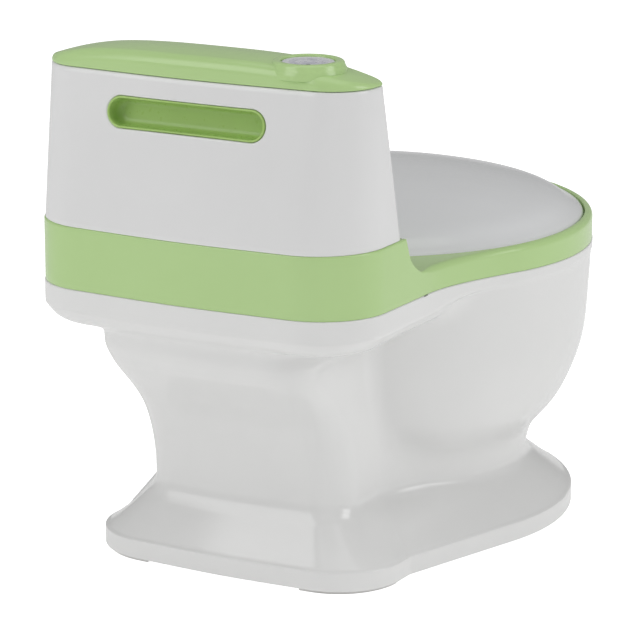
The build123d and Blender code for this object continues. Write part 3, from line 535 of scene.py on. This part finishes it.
def build_frame():
    edge_r = RIM[0] - FRAME_INSET
    edge_y = CENTRE_Y - edge_r * np.cos(ANGLES)
    top_z = frame_height(edge_y)
    blend = np.clip((edge_y - 88) / 16, 0, 1)
    edge = 4.0 - 2.7 * blend * blend * (3 - 2 * blend)
    radii, heights = [], []

    def row(r, z):
        radii.append(np.broadcast_to(r, len(ANGLES)))
        heights.append(np.broadcast_to(z, len(ANGLES)))

    low_z = seam_height(edge_r)
    row(edge_r - 0.7, low_z + 0.02)
    for s, c in quarter(3):
        row(edge_r - 0.7 + 0.7 * s, low_z + 0.7 * c)
    wall_z = top_z - edge
    for share in np.linspace(0, 1, 13)[1:]:
        row(edge_r, low_z + 0.7 + share * (wall_z - low_z - 0.7))
    for s, c in quarter(7):
        r = edge_r - edge * c
        y = CENTRE_Y - r * np.cos(ANGLES)
        row(r, frame_height(y) - edge * (1 - s))
    start_r = edge_r - edge
    recess = ray_circle(RECESS_R)
    lip = recess + 0.8
    for share in np.linspace(0, 1, 46)[1:]:
        r = start_r + share * (lip - start_r)
        row(r, frame_height(CENTRE_Y - r * np.cos(ANGLES)))
    lip_z = frame_height(CENTRE_Y - lip * np.cos(ANGLES))
    for s, c in quarter(4):
        row(lip - 0.8 * s, lip_z - 0.8 * c)
    row(recess, DECK_Z + 0.5)
    row(recess - 0.2, DECK_Z + 0.12)
    row(recess - 0.6, DECK_Z)
    crown_r = ray_circle(141.8)
    row((recess + crown_r) / 2, DECK_Z)
    edge_in = ray_oval(8.0)

    def crown_height(r):
        to_axis = np.hypot(r * np.sin(ANGLES), CENTRE_Y - BOWL_Y - r * np.cos(ANGLES))
        return np.interp(to_axis, CROWN[:, 0], CROWN[:, 1])

    for share in np.linspace(0, 1, 27):
        r = crown_r + share * (edge_in + 0.7 - crown_r)
        row(r, crown_height(r))
    rim_z = crown_height(edge_in + 0.7)
    for s, c in quarter(4):
        row(edge_in + 0.7 - 0.7 * s, rim_z - 0.7 * c)
    row(edge_in, LEDGE_Z + 0.3)
    row(edge_in - 0.3, LEDGE_Z)
    hole = ray_oval(0.0)
    row(hole + 0.6, LEDGE_Z)
    for s, c in quarter(3):
        row(hole + 0.6 - 0.6 * s, LEDGE_Z - 0.6 * c)
    row(hole, seam_height(hole) + 0.3)
    row(hole + 0.3, seam_height(hole))
    row(hole + 2.7, seam_height(hole))
    row(hole + 3.0, seam_height(hole) + 0.3)
    row(ray_oval(3.0), LEDGE_Z - WALL)
    row(ray_oval(11.0), LEDGE_Z - WALL)
    row(ray_oval(11.0), DECK_Z - WALL)
    row(recess, DECK_Z - WALL)
    inside = polar(rim_half(WALL), ANGLES)[0]
    for share in np.linspace(0, 1, 31):
        r = recess + 3 + share * (inside - recess - 3)
        r = np.minimum(r, inside)
        row(r, frame_height(CENTRE_Y - r * np.cos(ANGLES) - 3) - WALL)
    row(inside, low_z)
    body = rows_object("seat_frame_body", mirrored(np.array(radii), np.array(heights)), ring=True)

    pockets = []
    angle = np.linspace(0, 2 * math.pi, 64, endpoint=False)
    for i, x in enumerate(KNUCKLES):
        rows = [np.column_stack([np.full(64, end), HINGE[0] + 5.8 * np.cos(angle),
                                 HINGE[1] + 5.8 * np.sin(angle)]) for end in (x - 8.5, x + 8.5)]
        pockets.append(rows_object(f"hinge_pocket_{i}", rows, caps=(0, -1)))
    cut(body, pockets)
    ears = []
    for i, x in enumerate(KNUCKLES):
        for j, side in enumerate((-1, 1)):
            middle = x + side * (16.0 + 5.0 + 1.0) / 2
            dome = arc(HINGE[0], HINGE[1], 6.0, 0, 180, 28)
            outline = np.vstack([dome, [(HINGE[0] - 6, DECK_Z - 1), (HINGE[0] + 6, DECK_Z - 1)]])
            ears.append(tab_along_x(f"ear_{i}_{j}", middle - 2.5, middle + 2.5, outline))
    bosses = []
    for i, (x, y) in enumerate(SCREW_PLACES):
        high = PLATFORM - 1.5 if y > 150 else 206.0
        bosses.append(lathe(f"frame_boss_{i}", [(1.5, 192.5), (4.5, 192.5), (4.5, high),
                                                (1.5, high)], x, y, 32))
    join(body, ears + bosses)
    sharp_by_angle(body, 50)
    return body


# ---- tank ----------------------------------------------------------------------------
SLOT_Z, SLOT_REACH, SLOT_RADIUS = 311.2, 46.75, 10.25
LEAN = math.atan2(TANK_REAR - TANK_REAR_TOP, TANK_TOP - PLATFORM)


def tank_half(z, inset=0.0):
    """Half outline of the tank at a height; it narrows and leans in towards its top."""
    share = (z - PLATFORM) / (TANK_TOP - PLATFORM)
    half = TANK_HALF - TANK_HALF_TAPER * share - inset
    front = TANK_FRONT + TANK_FRONT_LEAN * share + inset
    rear = TANK_REAR - TANK_REAR_LEAN * share - inset
    corner = TANK_FRONT_CORNER - inset
    rear_corner = CORNER - TANK_CORNER_TAPER * share - inset
    turn = 87.0
    corner_y = rear - REAR_BOW * (half - rear_corner) - rear_corner * math.sin(math.radians(turn))
    bend = arc(half - rear_corner, corner_y, rear_corner, 0, turn, 26)
    leave = (-math.sin(math.radians(turn)), math.cos(math.radians(turn)))
    return np.vstack([
        line((0, front), (half - corner, front), 26),
        arc(half - corner, front + corner, corner, -90, 90, 18)[1:],
        line((half, front + corner), (half, corner_y), 8)[1:],
        bend[1:],
        curve([bend[-1], (0, rear)], leave, (-1, 0), 34)[1:],
    ])


def rear_wall_y(x, z):
    """Where the outside of the tank's back wall is."""
    half = tank_half(z)[-34:]
    return np.interp(abs(x), half[::-1, 0], half[::-1, 1])


def stadium(grow, count=30):
    """Closed loop of a round-ended slot in its own plane, grown by an amount."""
    right = arc(SLOT_REACH, 0, SLOT_RADIUS + grow, -90, 180, count)
    top = line(right[-1], (-SLOT_REACH, SLOT_RADIUS + grow), 24)[1:-1]
    left = arc(-SLOT_REACH, 0, SLOT_RADIUS + grow, 90, 180, count)
    low = line(left[-1], right[0], 24)[1:-1]
    return np.vstack([right, top, left, low])


def in_slot_plane(loop, depth):
    """Slot plane coordinates to the tank's back: depth is measured into the tank."""
    middle_y = rear_wall_y(0.0, SLOT_Z)
    normal = np.array([0, math.cos(LEAN), math.sin(LEAN)])
    up = np.array([0, -math.sin(LEAN), math.cos(LEAN)])
    origin = np.array([0, middle_y, SLOT_Z])
    return (origin + np.outer(loop[:, 0], (1, 0, 0)) + np.outer(loop[:, 1], up)
            - np.multiply.outer(np.broadcast_to(depth, len(loop)), normal))


def build_tank():
    wall, edge = 2.8, 1.1
    rows = []
    for s, c in [(0, 0)] + quarter(3):
        rows.append(full_loop(tank_half(PLATFORM, 0.6 * (1 - s)), PLATFORM + 0.6 * c))
    for z in spread(PLATFORM + 0.6, (TANK_TOP - edge, 40))[1:]:
        rows.append(full_loop(tank_half(z), z))
    for s, c in quarter(5):
        rows.append(full_loop(tank_half(TANK_TOP, edge * c), TANK_TOP - edge * (1 - s)))
    rows.append(full_loop(tank_half(TANK_TOP, wall - 0.4), TANK_TOP))
    rows.append(full_loop(tank_half(TANK_TOP, wall), TANK_TOP - 0.4))
    for z in spread(TANK_TOP - 0.4, (PLATFORM + wall, 20))[1:]:
        rows.append(full_loop(tank_half(z, wall), z))
    body = rows_object("tank_body", rows, caps=(0, -1))
    cutter = rows_object("slot_cutter", [in_slot_plane(stadium(wall / 2), -12.0),
                                         in_slot_plane(stadium(wall / 2), 12.0)], caps=(0, -1))
    cut(body, [cutter])

    path = stadium(wall / 2, 36)
    ahead = np.roll(path, -1, axis=0) - np.roll(path, 1, axis=0)
    ahead /= np.linalg.norm(ahead, axis=1)[:, None]
    outward = np.column_stack([ahead[:, 1], -ahead[:, 0]])
    flat = in_slot_plane(path, 0.0)
    bow = np.array([rear_wall_y(0.0, p[2]) - rear_wall_y(p[0], p[2]) for p in flat])
    rows = []
    for turn in np.linspace(0, 2 * math.pi, 14, endpoint=False):
        ring = path + outward * (wall / 2) * math.cos(turn)
        rows.append(in_slot_plane(ring, bow + wall / 2 - (wall / 2 + 0.02) * math.sin(turn)))
    lip = rows_object("slot_lip", rows, ring=True)
    bosses = [lathe(f"tank_boss_{i}", [(1.5, 236.5), (4.0, 236.5), (4.0, 247.0), (1.5, 247.0)],
                    side * 92, y, 32)
              for i, (side, y) in enumerate([(-1, 144), (-1, 178), (1, 144), (1, 178)])]
    join(body, [lip] + bosses)
    sharp_by_angle(body, 50)
    return body


def build_grip():
    """The pocket behind the hand grip slot."""
    stops = [(-10.0, 13.4), (-6.2, 13.4)]
    stops += [(-6.2 + 4.6 * s, 13.4 - 4.6 * c) for s, c in quarter(7)]
    stops += [(-1.6, 6.0), (-1.6, 2.2), (-1.4, 1.7), (-1.0, 1.45), (-0.5, 1.5), (-0.2, 1.9)]
    stops += [(-0.2, 4.2), (4.0, 4.2), (4.0, 5.8), (-0.2, 5.8), (-0.2, 12.0)]
    stops += [(-3.2 + 3.0 * (1 - c), 12 + 3.0 * s) for s, c in quarter(5)] + [(-10.0, 15.0)]
    rows = [in_slot_plane(stadium(grow), depth) for grow, depth in stops]
    body = rows_object("grip_pocket", rows, caps=(0, -1))
    sharp_by_angle(body, 50)
    return body


# ---- tank lid and its button ---------------------------------------------------------
LID_LOW = TANK_TOP + 0.4
LID_CREST = curve([(0, 351.0), (57.5, 349.8), (84, 346.8), (103, 342), (122, 335.5)],
                  (1, 0), (1, -0.35), 900)
LID_MID_Y = (TANK_FRONT_TOP + TANK_REAR_TOP) / 2


def lid_height(x, y):
    """Top of the tank lid: a crest along X that sags a little to the front and rear."""
    crest = np.interp(np.abs(x), LID_CREST[:, 0], LID_CREST[:, 1])
    sag = ((y - LID_MID_Y) / 40.0)**2 * 6.7
    return crest - sag * 0.8


def build_tank_lid():
    """Tank lid: skirt and shoulder as loops, the crown between them as one smooth sheet."""
    outline = tank_half(TANK_TOP)
    edge_z = lid_height(outline[:, 0], outline[:, 1])
    edge = np.minimum(6.5, (edge_z - LID_LOW) * 0.82)
    ahead = np.gradient(outline, axis=0)
    ahead[0] = (1, 0)
    ahead[-1] = (-1, 0)
    ahead /= np.linalg.norm(ahead, axis=1)[:, None]
    outward = np.column_stack([ahead[:, 1], -ahead[:, 0]])

    def plan_of(amount):
        moved = outline - outward * np.broadcast_to(amount, len(outline))[:, None]
        moved[0, 0] = moved[-1, 0] = 0
        return moved

    def loop(plan, z):
        points = full_loop(plan, 0)
        z = np.broadcast_to(z, len(plan))
        points[:, 2] = np.concatenate([z, z[-2:0:-1]])
        return points

    wall = 3.0
    inner_plan = plan_of(wall)
    inner_top = lid_height(inner_plan[:, 0], inner_plan[:, 1]) - wall
    inner_top = np.maximum(inner_top, LID_LOW + 0.6)
    rows = []
    for share in np.linspace(0.985, 0, 20):
        plan = inner_plan * (1 - share) + np.array([0, LID_MID_Y]) * share
        rows.append(loop(plan, np.maximum(lid_height(plan[:, 0], plan[:, 1]) - wall,
                                          LID_LOW + 0.6)))
    rows.append(loop(inner_plan, LID_LOW + 0.3))
    rows.append(loop(plan_of(wall - 0.3), LID_LOW))
    rows.append(loop(plan_of(0.5), LID_LOW))
    for s, c in quarter(3):
        rows.append(loop(plan_of(0.5 * (1 - s)), LID_LOW + 0.5 * c))
    for share in (0.25, 0.5, 0.75, 1.0):
        rows.append(loop(outline, LID_LOW + 0.5 + share * (edge_z - edge - LID_LOW - 0.5)))
    for s, c in quarter(12):
        plan = plan_of(edge * c)
        rows.append(loop(plan, lid_height(plan[:, 0], plan[:, 1]) - edge * (1 - s)))
    shoulder = plan_of(edge)
    for share in spread(0, (0.985, 34))[1:]:
        plan = shoulder * (1 - share) + np.array([0, LID_MID_Y]) * share
        rows.append(loop(plan, lid_height(plan[:, 0], plan[:, 1])))
    body = rows_object("tank_cover", rows, caps=(0, -1))
    bore = lathe("button_bore", [(17.0, 325.0), (17.0, 360.0)], *BUTTON, 128, (0, -1))
    cut(body, [bore])

    ring = [(17.0, 341.0), (17.0, 349.6), (17.35, 350.25), (18.0, 350.55), (19.6, 350.6)]
    ring += [(19.6 + 2.9 * s, 350.6 - 1.9 * c) for s, c in quarter(7)]
    ring += [(22.8, 347.8), (23.3, 346.6), (23.9, 345.8), (23.9, 341.0)]
    hoop = lathe("button_ring", ring, *BUTTON, 160)
    lip_outer = tank_half(TANK_TOP, 3.5)
    lip_inner = tank_half(TANK_TOP, 5.0)
    lip = rows_object("lid_lip", [full_loop(lip_outer, LID_LOW + 1.5),
                                  full_loop(lip_outer, TANK_TOP - 3.5),
                                  full_loop((lip_outer * 0.7 + lip_inner * 0.3), TANK_TOP - 4),
                                  full_loop(lip_inner, TANK_TOP - 3.8),
                                  full_loop(lip_inner, LID_LOW + 1.5)], ring=True)
    posts = [lathe(f"lid_post_{i}", [(1.5, 336.8), (3.5, 336.8), (3.5, 340.5), (1.5, 340.5)],
                   x, y, 32) for i, (x, y) in
             enumerate([(-98.5, 151), (-98.5, 171), (-12, 151), (-12, 171)])]
    join(body, [hoop, lip] + posts)
    sharp_by_angle(body, 50)
    return body


def build_button():
    profile = [(0.3, 349.15), (8.0, 349.2), (14.6, 349.3), (15.6, 349.4)]
    profile += [(15.8 + 0.8 * s, 349.4 - 0.8 * c) for s, c in quarter(4)]
    profile += [(16.6, 342.0), (18.0, 341.7), (18.0, 340.2), (14.6, 340.2), (14.6, 347.2),
                (3.0, 347.2), (3.0, 337.3), (2.6, 337.05), (0.3, 337.05)]
    body = lathe("flush_cap", profile, *BUTTON, 128, (0, -1))
    sharp_by_angle(body, 50)
    return body


# ---- seat lid ------------------------------------------------------------------------
def lid_profile(inset):
    edge = LID_R - inset
    dome = [(0, 235.5), (60, 233.0), (95, 228.1), (118, 223.0), (136, 216.7), (145, 211.1)]
    points = [(r * edge / 150, z - inset) for r, z in dome] + [(edge, 206.6 - inset / 3)]
    return curve(points, (1, 0), (0, -1), 500)


def build_seat_lid():
    outer = lid_profile(0)[::7]
    inner = lid_profile(WALL)[::9]
    profile = [(r if i else 0.4, z) for i, (r, z) in enumerate(outer)]
    profile += [(LID_R, 205.6), (LID_R - 0.2, 205.15), (LID_R - 0.7, 205.0)]
    profile += [(LID_R - 2.4, 205.0), (LID_R - 2.9, 205.3)]
    profile += [(max(r, 0.4), z) for r, z in inner[::-1]]
    body = lathe("seat_lid_body", profile, 0.0, BOWL_Y, 288, (0, -1))
    extras = []
    for i, x in enumerate(KNUCKLES):
        extras.append(tube_along_x(f"knuckle_{i}", x - 8, x + 8, *HINGE, 5.0, 2.05))
        arm = [(90.5, 209.6), (HINGE[0], 209.0), (HINGE[0] + 1.5, 211.0), (HINGE[0], 214.6),
               (99.0, 214.4), (90.5, 213.6)]
        extras.append(tab_along_x(f"arm_{i}", x - 7.9, x + 7.9, arm[::-1], 0.7))
    join(body, extras)
    sharp_by_angle(body, 50)
    return body


# ---- pot -----------------------------------------------------------------------------
def build_pot():
    lift = 0.3
    wall = curve([(27, 96), (16, 108), (9, 130), (4, 165), (1.2, LEDGE_Z)], count=400)
    inside = curve([(29.4, 98.4), (18.4, 110.4), (11.4, 132.4), (6.4, 167.4),
                    (3.6, LEDGE_Z + 3)], count=400)
    stops = [(74.0, 96.0), (50, 96.0), (30, 96.0), (28, 96.05)] + wall[8::11].tolist()
    stops += [(1.2, LEDGE_Z), (-5.9, LEDGE_Z), (-6.6, LEDGE_Z + 0.3), (-6.8, LEDGE_Z + 1.0)]
    stops += [(-6.8, LEDGE_Z + 2.0), (-6.5, LEDGE_Z + 2.7), (-5.8, LEDGE_Z + 3.0)]
    stops += [(1.8, LEDGE_Z + 3.0), (2.9, LEDGE_Z + 2.6), (3.6, LEDGE_Z + 1.6)]
    stops += inside[::-1][24::12].tolist() + [(31, 98.42), (50, 98.4), (74.0, 98.4)]
    angle = np.linspace(0, 2 * math.pi, 200, endpoint=False)
    rows = []
    for draw, z in stops:
        rows.append(np.column_stack([(OVAL_X - draw) * np.cos(angle),
                                     POT_Y + (OVAL_Y - draw) * np.sin(angle),
                                     np.full(200, z + lift)]))
    body = rows_object("pot_body", rows, caps=(0, -1))
    sharp_by_angle(body, 60)
    return body


# ---- materials -----------------------------------------------------------------------
def linear(*srgb):
    return [(v / 255 / 12.92 if v <= 10 else ((v / 255 + 0.055) / 1.055)**2.4) for v in srgb]


class Nodes:
    """A material's node tree, with one call for each kind of node."""

    def __init__(self, name):
        self.material = bpy.data.materials.new(name)
        self.material.use_nodes = True
        self.tree = self.material.node_tree
        self.shader = self.tree.nodes["Principled BSDF"]
        self.place = self.add("ShaderNodeTexCoord").outputs["Object"]

    def add(self, kind, inputs=None, **settings):
        node = self.tree.nodes.new(kind)
        for key, value in settings.items():
            setattr(node, key, value)
        for key, value in (inputs or {}).items():
            if isinstance(value, bpy.types.NodeSocket):
                self.tree.links.new(value, node.inputs[key])
            else:
                node.inputs[key].default_value = value
        return node

    def noise(self, scale, detail=3.0, roughness=0.5):
        return self.add("ShaderNodeTexNoise", {"Vector": self.place, "Scale": scale,
                                               "Detail": detail,
                                               "Roughness": roughness}).outputs["Fac"]

    def ramp(self, value, low, high, first, last):
        """Maps a value between two limits to a range of numbers."""
        return self.add("ShaderNodeMapRange", {"Value": value, "From Min": low, "From Max": high,
                                               "To Min": first, "To Max": last}).outputs[0]

    def mix(self, factor, one, two):
        """Mixes two colours."""
        node = self.add("ShaderNodeMix", data_type="RGBA")
        for socket, value in zip((node.inputs[0], node.inputs[6], node.inputs[7]),
                                 (factor, one, two)):
            if isinstance(value, bpy.types.NodeSocket):
                self.tree.links.new(value, socket)
            elif hasattr(value, "__len__"):
                socket.default_value = (*value, 1.0)
            else:
                socket.default_value = value
        return node.outputs[2]

    def math(self, operation, one, two=0.0):
        node = self.add("ShaderNodeMath", operation=operation)
        for socket, value in zip(node.inputs, (one, two)):
            if isinstance(value, bpy.types.NodeSocket):
                self.tree.links.new(value, socket)
            else:
                socket.default_value = value
        return node.outputs[0]

    def finish(self, colour, rough, height, bump, distance=0.0002, **values):
        links = self.tree.links
        links.new(colour, self.shader.inputs["Base Color"])
        links.new(rough, self.shader.inputs["Roughness"])
        node = self.add("ShaderNodeBump", {"Height": height, "Strength": bump,
                                           "Distance": distance})
        links.new(node.outputs["Normal"], self.shader.inputs["Normal"])
        for key, value in values.items():
            self.shader.inputs[key.replace("_", " ")].default_value = value
        return self.material


def plastic(name, colour, deeper, rough=(0.17, 0.26), ripple=0.10, seam=False, **values):
    """Moulded plastic: slight mottle, uneven gloss and a faint orange-peel skin."""
    n = Nodes(name)
    cloud = n.noise(9.0, 4.0, 0.55)
    tint = n.mix(n.ramp(cloud, 0.32, 0.68, 0.0, 1.0), colour, deeper)
    fine = n.noise(260.0, 3.0, 0.6)
    wide = n.noise(38.0, 2.0)
    gloss = n.ramp(fine, 0.3, 0.7, rough[0], rough[1])
    height = n.math("ADD", n.math("MULTIPLY", wide, 0.22), n.math("MULTIPLY", fine, 0.03))
    if seam:
        axes = n.add("ShaderNodeSeparateXYZ", {"Vector": n.place})
        off = n.math("ABSOLUTE", axes.outputs["X"])
        ridge = n.ramp(off, 0.0, 0.0006, 0.55, 0.0)
        height = n.math("ADD", height, ridge)
    return n.finish(tint, gloss, height, ripple, **values)


def metal(name, colour, deeper, rough, grain_scale):
    """Metal with fine brushed grain and faint staining."""
    n = Nodes(name)
    stretch = n.add("ShaderNodeMapping", {"Vector": n.place, "Scale": (0.25, 1.0, 1.0)})
    grain = n.add("ShaderNodeTexNoise", {"Vector": stretch.outputs[0], "Scale": grain_scale,
                                         "Detail": 5.0}).outputs["Fac"]
    stain = n.noise(120.0, 4.0, 0.6)
    tint = n.mix(n.ramp(stain, 0.35, 0.65, 0.0, 1.0), colour, deeper)
    gloss = n.ramp(grain, 0.3, 0.7, rough[0], rough[1])
    return n.finish(tint, gloss, grain, 0.15, 0.00008, Metallic=1.0)


def rubber(name, colour, deeper):
    """Soft foot pad: matt with a fine pebble."""
    n = Nodes(name)
    pebble = n.add("ShaderNodeTexVoronoi", {"Vector": n.place, "Scale": 900.0}).outputs[0]
    cloud = n.noise(60.0, 4.0, 0.6)
    tint = n.mix(n.ramp(cloud, 0.3, 0.7, 0.0, 1.0), colour, deeper)
    return n.finish(tint, n.ramp(cloud, 0.3, 0.7, 0.6, 0.8), pebble, 0.25, 0.0002)


def button_skin(name):
    """Grey-lilac cap with a faint mottle and one small dark mark."""
    n = Nodes(name)
    cap_middle = (-0.073, 0.165, 0.349)
    mark_place = (-0.0779, 0.1739, 0.3493)
    local = n.add("ShaderNodeVectorMath", {0: n.place, 1: cap_middle},
                  operation="SUBTRACT").outputs[0]
    reach = n.add("ShaderNodeVectorMath", {0: local}, operation="LENGTH").outputs["Value"]
    print_noise = n.noise(170.0, 3.0, 0.6)
    inside = n.ramp(reach, 0.0118, 0.0124, 1.0, 0.0)
    pale = linear(214, 214, 220)
    grey = linear(188, 188, 200)
    patch = n.math("MULTIPLY", n.ramp(print_noise, 0.42, 0.56, 0.0, 1.0), inside)
    tint = n.mix(patch, pale, grey)
    mark = n.add("ShaderNodeVectorMath", {0: n.place, 1: mark_place},
                 operation="SUBTRACT").outputs[0]
    near = n.add("ShaderNodeVectorMath", {0: mark}, operation="LENGTH").outputs["Value"]
    tint = n.mix(n.ramp(near, 0.0012, 0.0018, 0.8, 0.0), tint, linear(60, 60, 66))
    fine = n.noise(320.0, 3.0)
    return n.finish(tint, n.ramp(fine, 0.3, 0.7, 0.24, 0.34), fine, 0.06)


def board_skin(name):
    """Green circuit board with pale tracks."""
    n = Nodes(name)
    cells = n.add("ShaderNodeTexVoronoi", {"Vector": n.place, "Scale": 260.0},
                  feature="DISTANCE_TO_EDGE").outputs[0]
    tracks = n.ramp(cells, 0.02, 0.05, 1.0, 0.0)
    cloud = n.noise(90.0)
    base = n.mix(n.ramp(cloud, 0.3, 0.7, 0.0, 1.0), (0.010, 0.095, 0.035), (0.016, 0.130, 0.050))
    tint = n.mix(tracks, base, (0.060, 0.240, 0.095))
    return n.finish(tint, n.ramp(cloud, 0.3, 0.7, 0.3, 0.45), tracks, 0.2, 0.0001)


WHITE = plastic("white_shell", linear(231, 231, 230), linear(228, 228, 227), (0.12, 0.17),
                0.09, seam=True)
TANK_WHITE = plastic("white_tank", linear(231, 231, 231), linear(228, 228, 228), (0.20, 0.26),
                     0.05)
LID_WHITE = plastic("white_lid", linear(229, 230, 231), linear(225, 226, 227), (0.13, 0.20),
                    0.05)
GREEN = plastic("green_shell", linear(184, 215, 148), linear(181, 212, 144), (0.18, 0.25), 0.05)
# The pocket is the frame's green plastic, painted darker and more saturated: painted shade for
# the recess behind the grip slot.
SHADED_POCKET_GREEN = plastic("green_pocket_painted_shade", linear(172, 205, 118), linear(166, 200, 112), (0.26, 0.36),
                     0.07)
POT_WHITE = plastic("pot_shell", linear(226, 227, 227), linear(220, 221, 222), (0.20, 0.30), 0.07)
INNER = plastic("inner_shell", linear(214, 214, 210), linear(206, 206, 202), (0.35, 0.48), 0.12)
BLACK = plastic("black_plastic", (0.022, 0.022, 0.024), (0.030, 0.030, 0.032), (0.35, 0.50), 0.15)
PAD = rubber("pad_rubber", linear(222, 221, 219), linear(212, 211, 209))
CELL = metal("cell_steel", (0.56, 0.56, 0.57), (0.50, 0.50, 0.52), (0.25, 0.38), 400.0)
STEEL = metal("zinc_steel", (0.62, 0.61, 0.58), (0.55, 0.54, 0.50), (0.25, 0.40), 700.0)
CAP = button_skin("button_cap")
BOARD = board_skin("board_green")


# ---- pieces, each on its body --------------------------------------------------------
NEW_PIECES = (
    (build_base, WHITE, "base", "base_shell", "white_plastic"),
    (build_frame, GREEN, "base", "seat_frame", "green_plastic"),
    (build_tank, TANK_WHITE, "base", "tank_shell", "white_plastic"),
    (build_grip, SHADED_POCKET_GREEN, "base", "grip_insert", "green_plastic"),
    (build_tank_lid, GREEN, "cistern_lid", "tank_lid", "green_plastic"),
    (build_button, CAP, "button", "flush_button", "button_plastic"),
    (build_seat_lid, LID_WHITE, "seat_lid", "toilet_lid", "lid_plastic"),
    (build_pot, POT_WHITE, "pot", "potty_pot", "pot_plastic"),
)
for build, material, body, node, slot in NEW_PIECES:
    piece = build()
    piece.data.materials.clear()
    piece.data.materials.append(material)
    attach(piece, body)
    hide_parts(node)

KEPT_NODES = {
    PAD: ("foot_rear_left", "foot_rear_right", "foot_front_left", "foot_front_right"),
    STEEL: ("frame_screws", "tank_screws", "case_screws", "door_screw", "hinge_pin_left",
            "hinge_pin_right", "button_spring", "battery_contacts"),
    CELL: ("battery_front", "battery_rear"),
    INNER: ("sound_case", "case_cover", "battery_door"),
    BLACK: ("tact_switch", "speaker"),
    BOARD: ("circuit_board",),
}
for material, names in KEPT_NODES.items():
    for name in names:
        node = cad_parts[name]
        for number in range(len(node.data.materials)):
            node.data.materials[number] = material

# ---- floor, light and camera ---------------------------------------------------------
floor_points = [(-9000, -9000, 0), (9000, -9000, 0), (9000, 9000, 0), (-9000, 9000, 0)]
floor = new_object("studio_floor", floor_points, [[0, 1, 2, 3]])
floor_nodes = Nodes("studio_floor")
floor_cloud = floor_nodes.noise(0.6)
floor_tint = floor_nodes.mix(floor_nodes.ramp(floor_cloud, 0.3, 0.7, 0.0, 1.0),
                             (0.90, 0.90, 0.90), (0.88, 0.88, 0.88))
floor.data.materials.append(
    floor_nodes.finish(floor_tint, floor_nodes.ramp(floor_cloud, 0.3, 0.7, 0.75, 0.85),
                       floor_cloud, 0.02))
floor_nodes.shader.inputs["Specular IOR Level"].default_value = 0.1
floor_nodes.shader.inputs["Emission Color"].default_value = (1, 1, 1, 1)
floor_path = floor_nodes.add("ShaderNodeLightPath").outputs["Is Camera Ray"]
floor_glow = floor_nodes.ramp(floor_path, 0.0, 1.0, 0.25, 0.85)
floor_nodes.tree.links.new(floor_glow, floor_nodes.shader.inputs["Emission Strength"])

world = bpy.data.worlds.new("studio")
world.use_nodes = True
bpy.context.scene.world = world
sky = world.node_tree
sky_light = sky.nodes["Background"]
sky_light.inputs["Color"].default_value = (1, 1, 1, 1)
sky_light.inputs["Strength"].default_value = 0.33
sky_seen = sky.nodes.new("ShaderNodeBackground")
sky_seen.inputs["Color"].default_value = (1, 1, 1, 1)
sky_seen.inputs["Strength"].default_value = 1.0
sky_mix = sky.nodes.new("ShaderNodeMixShader")
sky_path = sky.nodes.new("ShaderNodeLightPath")
sky.links.new(sky_path.outputs["Is Camera Ray"], sky_mix.inputs[0])
sky.links.new(sky_light.outputs[0], sky_mix.inputs[1])
sky.links.new(sky_seen.outputs[0], sky_mix.inputs[2])
sky.links.new(sky_mix.outputs[0], sky.nodes["World Output"].inputs[0])

CAMERA_AT = Vector((-1.0556, 1.9235, 0.7149))
CAMERA_RIGHT = Vector((-0.87446, -0.48508, 0.0))
CAMERA_UP = Vector((0.12307, -0.22185, 0.96727))
CAMERA_AHEAD = Vector((0.46921, -0.84585, -0.25370))


def soft_box(name, direction, distance, width, height, watts):
    """A rectangular soft box aimed at the middle of the object."""
    target = Vector((0.0, 0.0, 0.17))
    lamp = bpy.data.lights.new(name, "AREA")
    lamp.shape = "RECTANGLE"
    lamp.size = width
    lamp.size_y = height
    lamp.energy = watts
    light = bpy.data.objects.new(name, lamp)
    light.location = target + Vector(direction).normalized() * distance
    light.rotation_euler = (light.location - target).to_track_quat("Z", "Y").to_euler()
    bpy.context.scene.collection.objects.link(light)


LEFT = -CAMERA_RIGHT
TOWARDS = -CAMERA_AHEAD
UP = Vector((0, 0, 1))
soft_box("key_left", TOWARDS * 0.55 + LEFT * 0.75 + UP * 0.45, 2.2, 1.2, 1.5, 13.0)
soft_box("fill_right", TOWARDS * 0.35 - LEFT * 0.9 + UP * 0.35, 2.2, 0.9, 1.3, 13.0)
soft_box("top", UP * 1.0 + TOWARDS * 0.12, 1.9, 1.6, 1.6, 7.5)

camera_data = bpy.data.cameras.new("view")
camera_data.lens = 188.45
camera_data.sensor_width = 36.0
camera_data.clip_end = 50.0
camera = bpy.data.objects.new("view", camera_data)
bpy.context.scene.collection.objects.link(camera)
camera.matrix_world = Matrix.Translation(CAMERA_AT) @ Matrix(
    (CAMERA_RIGHT, CAMERA_UP, -CAMERA_AHEAD)).transposed().to_4x4()
bpy.context.scene.camera = camera
bpy.context.scene.view_settings.view_transform = "Standard"
